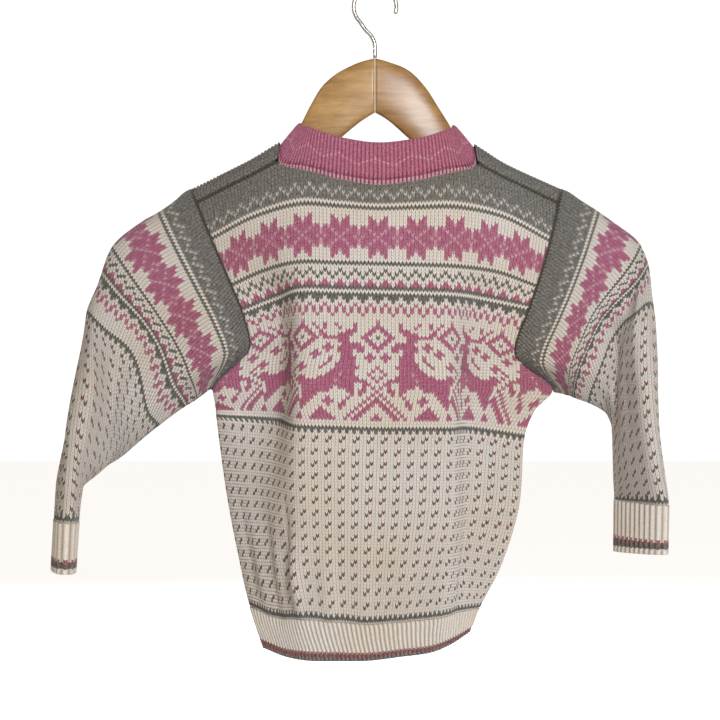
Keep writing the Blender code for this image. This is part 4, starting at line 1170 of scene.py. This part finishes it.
def band(word, low, high, out):
    """A front band in plain stitches, its long edges turned in."""
    flat = np.linspace(0, 1, BAND_STITCHES * 4 + 1)
    across = np.concatenate([[0.0, 0.0], flat, [1.0, 1.0]])
    turned = np.array([-BAND_THICK, -BAND_THICK * 0.5])
    sink = np.concatenate([turned, np.zeros(len(flat)), turned[::-1]])
    down = np.arange(BAND_TOP_ROW, HEM_END_ROW + 0.01, (HEM_END_ROW - BAND_TOP_ROW) / BAND_ROWS)
    u, v = np.meshgrid(across * BAND_STITCHES - 0.5, down)
    off = np.abs(u - np.round(u))
    rows = np.clip(v + SLANT * (1 - 4 * off), down[0], down[-1])
    shares = low + (high - low) * np.broadcast_to(across, u.shape)
    points, normals = cloth(rows, shares, "front")
    points = points + normals * (out + sink[None, :] + relief(off) * (sink == 0) - 0.35)[..., None]
    tone = np.full((len(down) - 1, len(across) - 1), PINK)
    obj = add_grid("knit_band_" + word, points, u, v, tone, YARNS, flip=True)
    return stand_for(obj, "band_" + word)


def lathe(name, centre, side, up, normal, profile, sides, material):
    """The profile's radii and heights turned round the normal."""
    angle = np.arange(sides)[:, None] * 2 * math.pi / sides
    rings = [centre + normal * h + (side * np.cos(angle) + up * np.sin(angle)) * r for r, h in profile]
    return add_tube(name, rings, material)


def button(number, row, finish, eye_painted_shade):
    """A round button with a rim and four eyes, laid on the band at this row."""
    half = BAND_SHARE * 0.5
    corner = [cloth(r, s, "front") for r in (row - 2.4, row + 2.4) for s in (-half, half)]
    places = [p + n * (BAND_OUT + BUTTON_GAP) for p, n in corner]
    centre = np.mean(places, axis=0)
    side = unit(places[1] - places[0])
    normal = unit(np.cross(side, places[2] - places[0]))
    normal = normal * -np.sign(normal[1])
    up = np.cross(side, normal)
    obj = lathe(f"round_button_{number}", centre, side, up, normal, BUTTON_PROFILE, 40, finish)
    stand_for(obj, f"button_{number}")
    # the eyes are near-black discs on the face: the holes' shade is painted, not cut
    for k in range(4):
        angle = math.pi / 4 + k * math.pi / 2
        at = centre + (side * math.cos(angle) + up * math.sin(angle)) * EYE_PLACE
        eye = lathe(f"button_{number}_eye_{k + 1}", at, side, up, normal, EYE_PROFILE, 12, eye_painted_shade)
        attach(eye, "root")


# ---- the hanger

def hanger_arm(word, table, material):
    """A flattened oval bar through the table's places, closed at both ends."""
    angle = np.linspace(0, 2 * math.pi, ARM_SIDES, endpoint=False)
    thick, tall = (np.sign(part) * np.abs(part) ** power
                   for part, power in ((np.cos(angle), ARM_POWER_ACROSS), (np.sin(angle), ARM_POWER_UP)))
    rings = []
    for x, top, bottom, y in curve_through(with_ends(np.array(table)), 5):
        reach = (top - bottom) / 2
        rings.append(np.stack([np.full(ARM_SIDES, x), y + ARM_HALF_THICK * ARM_FIT_ACROSS * thick,
                               (top + bottom) / 2 + reach * ARM_FIT_UP * tall], axis=1))
    first, last = rings[0], rings[-1]
    rounded = last * 0.5 + last.mean(axis=0) * 0.5 + (last[0] - rings[-2][0]) * [0.1, 0, 0]
    rings = [first * 0 + first.mean(axis=0), *rings, rounded, last * 0 + last.mean(axis=0)]
    obj = add_tube("wood_arm_" + word, rings, material, word == "left")
    return stand_for(obj, "hanger_arm_" + word)


def hook(material):
    """A plain wire from the arms' joint up, and round in a crook."""
    path = [(0.0, -61.6), (0.0, -55.0), (0.6, -48.5), (3.4, -42.5), (8.2, -37.6)]
    for degrees in np.arange(-44, 206, 6.25):
        a = math.radians(degrees)
        height = WIRE_RADIUS - CROOK_RADIUS + CROOK_RADIUS * math.sin(a)
        path.append((CROOK_RADIUS * math.cos(a), height))
    path = curve_through(with_ends(np.array([(x, 0.0, z) for x, z in path])), 3)
    across = np.array([0.0, 1.0, 0.0])
    angle = np.arange(20)[:, None] * math.pi / 10
    radii = [WIRE_RADIUS] * (len(path) - 2) + [WIRE_RADIUS * 0.85, WIRE_RADIUS * 0.4]
    rings = [place + (across * np.cos(angle) + np.cross(direction, across) * np.sin(angle)) * radius
             for place, direction, radius in zip(path, unit(np.gradient(path, axis=0)), radii)]
    rings = [rings[0] * 0 + rings[0].mean(axis=0), *rings, rings[-1] * 0 + rings[-1].mean(axis=0)]
    obj = add_tube("wire_hook", rings, material)
    return stand_for(obj, "hanger_hook")


# ---- the pieces

back = panel("back", "back", BACK_TOP, -1.0, 1.0)
front_left = panel("front_left", "front", FRONT_TOP, BAND_SHARE + 0.003, 1.0)
front_right = panel("front_right", "front", FRONT_TOP, -1.0, -BAND_SHARE - 0.003)
made = {word: sleeve(word, side) for word, side in (("left", 1), ("right", -1))}
cuffs = {word: cuff(word, form) for word, (form, obj) in made.items()}
hem = hem_rib()
neck = collar()
band_right = band("right", -BAND_SHARE - 0.001, BAND_SHARE - 0.001, BAND_OUT)
band_left = band("left", -BAND_SHARE + 0.008, BAND_SHARE - 0.001, BAND_OUT - BAND_THICK - 0.5)
button_finish = hard("button_finish", (0.12, 0.115, 0.12), 0.4, 0.0, 260.0)
# near-black: painted shade of the buttons' holes
eye_painted_shade = hard("button_eye_painted_shade", (0.02, 0.02, 0.02), 0.7, 0.0, 260.0)
for index, at_row in enumerate(BUTTON_ROWS):
    button(index + 1, at_row, button_finish, eye_painted_shade)
hanger_arm("left", ARM_LEFT, wood("light_wood", (0.52, 0.31, 0.115), (0.37, 0.20, 0.065)))
hanger_arm("right", ARM_RIGHT, wood("dark_wood", (0.43, 0.235, 0.08), (0.29, 0.145, 0.045)))
hook(hard("plated_wire", (0.62, 0.62, 0.62), 0.28, 1.0, 180.0))


# ---- the room, in metres

def light(name, place, aim, size, power, colour):
    data = bpy.data.lights.new(name, "AREA")
    data.shape, data.size, data.energy, data.color = "SQUARE", size, power, colour
    lamp = bpy.data.objects.new(name, data)
    lamp.location = place
    lamp.rotation_euler = (Vector(aim) - Vector(place)).to_track_quat("-Z", "Y").to_euler()
    bpy.context.scene.collection.objects.link(lamp)


def room():
    """A pale backdrop for the camera, and a warm, dimmer sky for everything else."""
    world = bpy.data.worlds.new("room")
    bpy.context.scene.world = world
    make = node_maker(world)
    level = make("SeparateXYZ", {0: make("TexCoord").outputs["Generated"]})
    above = spread(make, level.outputs[2], 0.34, 0.62, 0.36, 0.20)
    sky = make("Background", {"Color": (1.0, 0.85, 0.66, 1), "Strength": above})
    backdrop = make("Background", {"Color": (1.0, 0.99, 0.98, 1), "Strength": 1.1})
    seen = make("LightPath").outputs["Is Camera Ray"]
    shared = make("MixShader", {0: seen, 1: sky.outputs[0], 2: backdrop.outputs[0]})
    make("OutputWorld", {"Surface": shared.outputs[0]})


def ground(reach=9.0, height=-0.80):
    """A pale floor that looks lighter to the camera than it lights the cardigan."""
    mesh = bpy.data.meshes.new("floor")
    corners = ((-reach, -reach), (reach, -reach), (reach, reach), (-reach, reach))
    mesh.from_pydata([(x, y, height) for x, y in corners], [], [(0, 1, 2, 3)])
    floor = bpy.data.objects.new("floor", mesh)
    finish = bpy.data.materials.new("floor_finish")
    make = node_maker(finish)
    glow = worked(make, "MULTIPLY_ADD", make("LightPath").outputs["Is Camera Ray"], 0.62, 0.18)
    shader = make("BsdfPrincipled", {
        "Base Color": (0.72, 0.72, 0.73, 1.0), "Roughness": 0.9, "Specular IOR Level": 0.1,
        "Emission Color": (1.0, 1.0, 1.0, 1.0), "Emission Strength": glow})
    make("OutputMaterial", {"Surface": shader.outputs[0]})
    mesh.materials.append(finish)
    bpy.context.scene.collection.objects.link(floor)


def look(focal=1420.5, picture=720):
    """The camera, straight at the back as in the photograph; focal length and picture's side are in pixels."""
    data = bpy.data.cameras.new("camera")
    camera = bpy.data.objects.new("camera", data)
    camera.location = (0.0, 1.25, -0.363)
    camera.rotation_euler = (math.radians(90), 0.0, math.radians(180))
    data.lens, data.sensor_width = 36 * focal / picture, 36.0
    data.shift_x, data.shift_y = -15 / picture, 40 / picture
    bpy.context.scene.collection.objects.link(camera)
    bpy.context.scene.camera = camera


light("key", (-0.45, 1.7, 0.25), (0.0, 0.0, -0.33), 0.4, 23.0, (0.94, 0.965, 1.0))
light("fill", (1.5, 0.9, 0.1), (0.0, 0.0, -0.35), 1.2, 1.3, (1.0, 0.84, 0.62))
light("front", (0.12, -1.75, 0.4), (0.0, 0.0, -0.35), 0.6, 19.0, (1.0, 0.98, 0.95))
room()
ground()
look()
bpy.context.scene.view_settings.view_transform = "Standard"
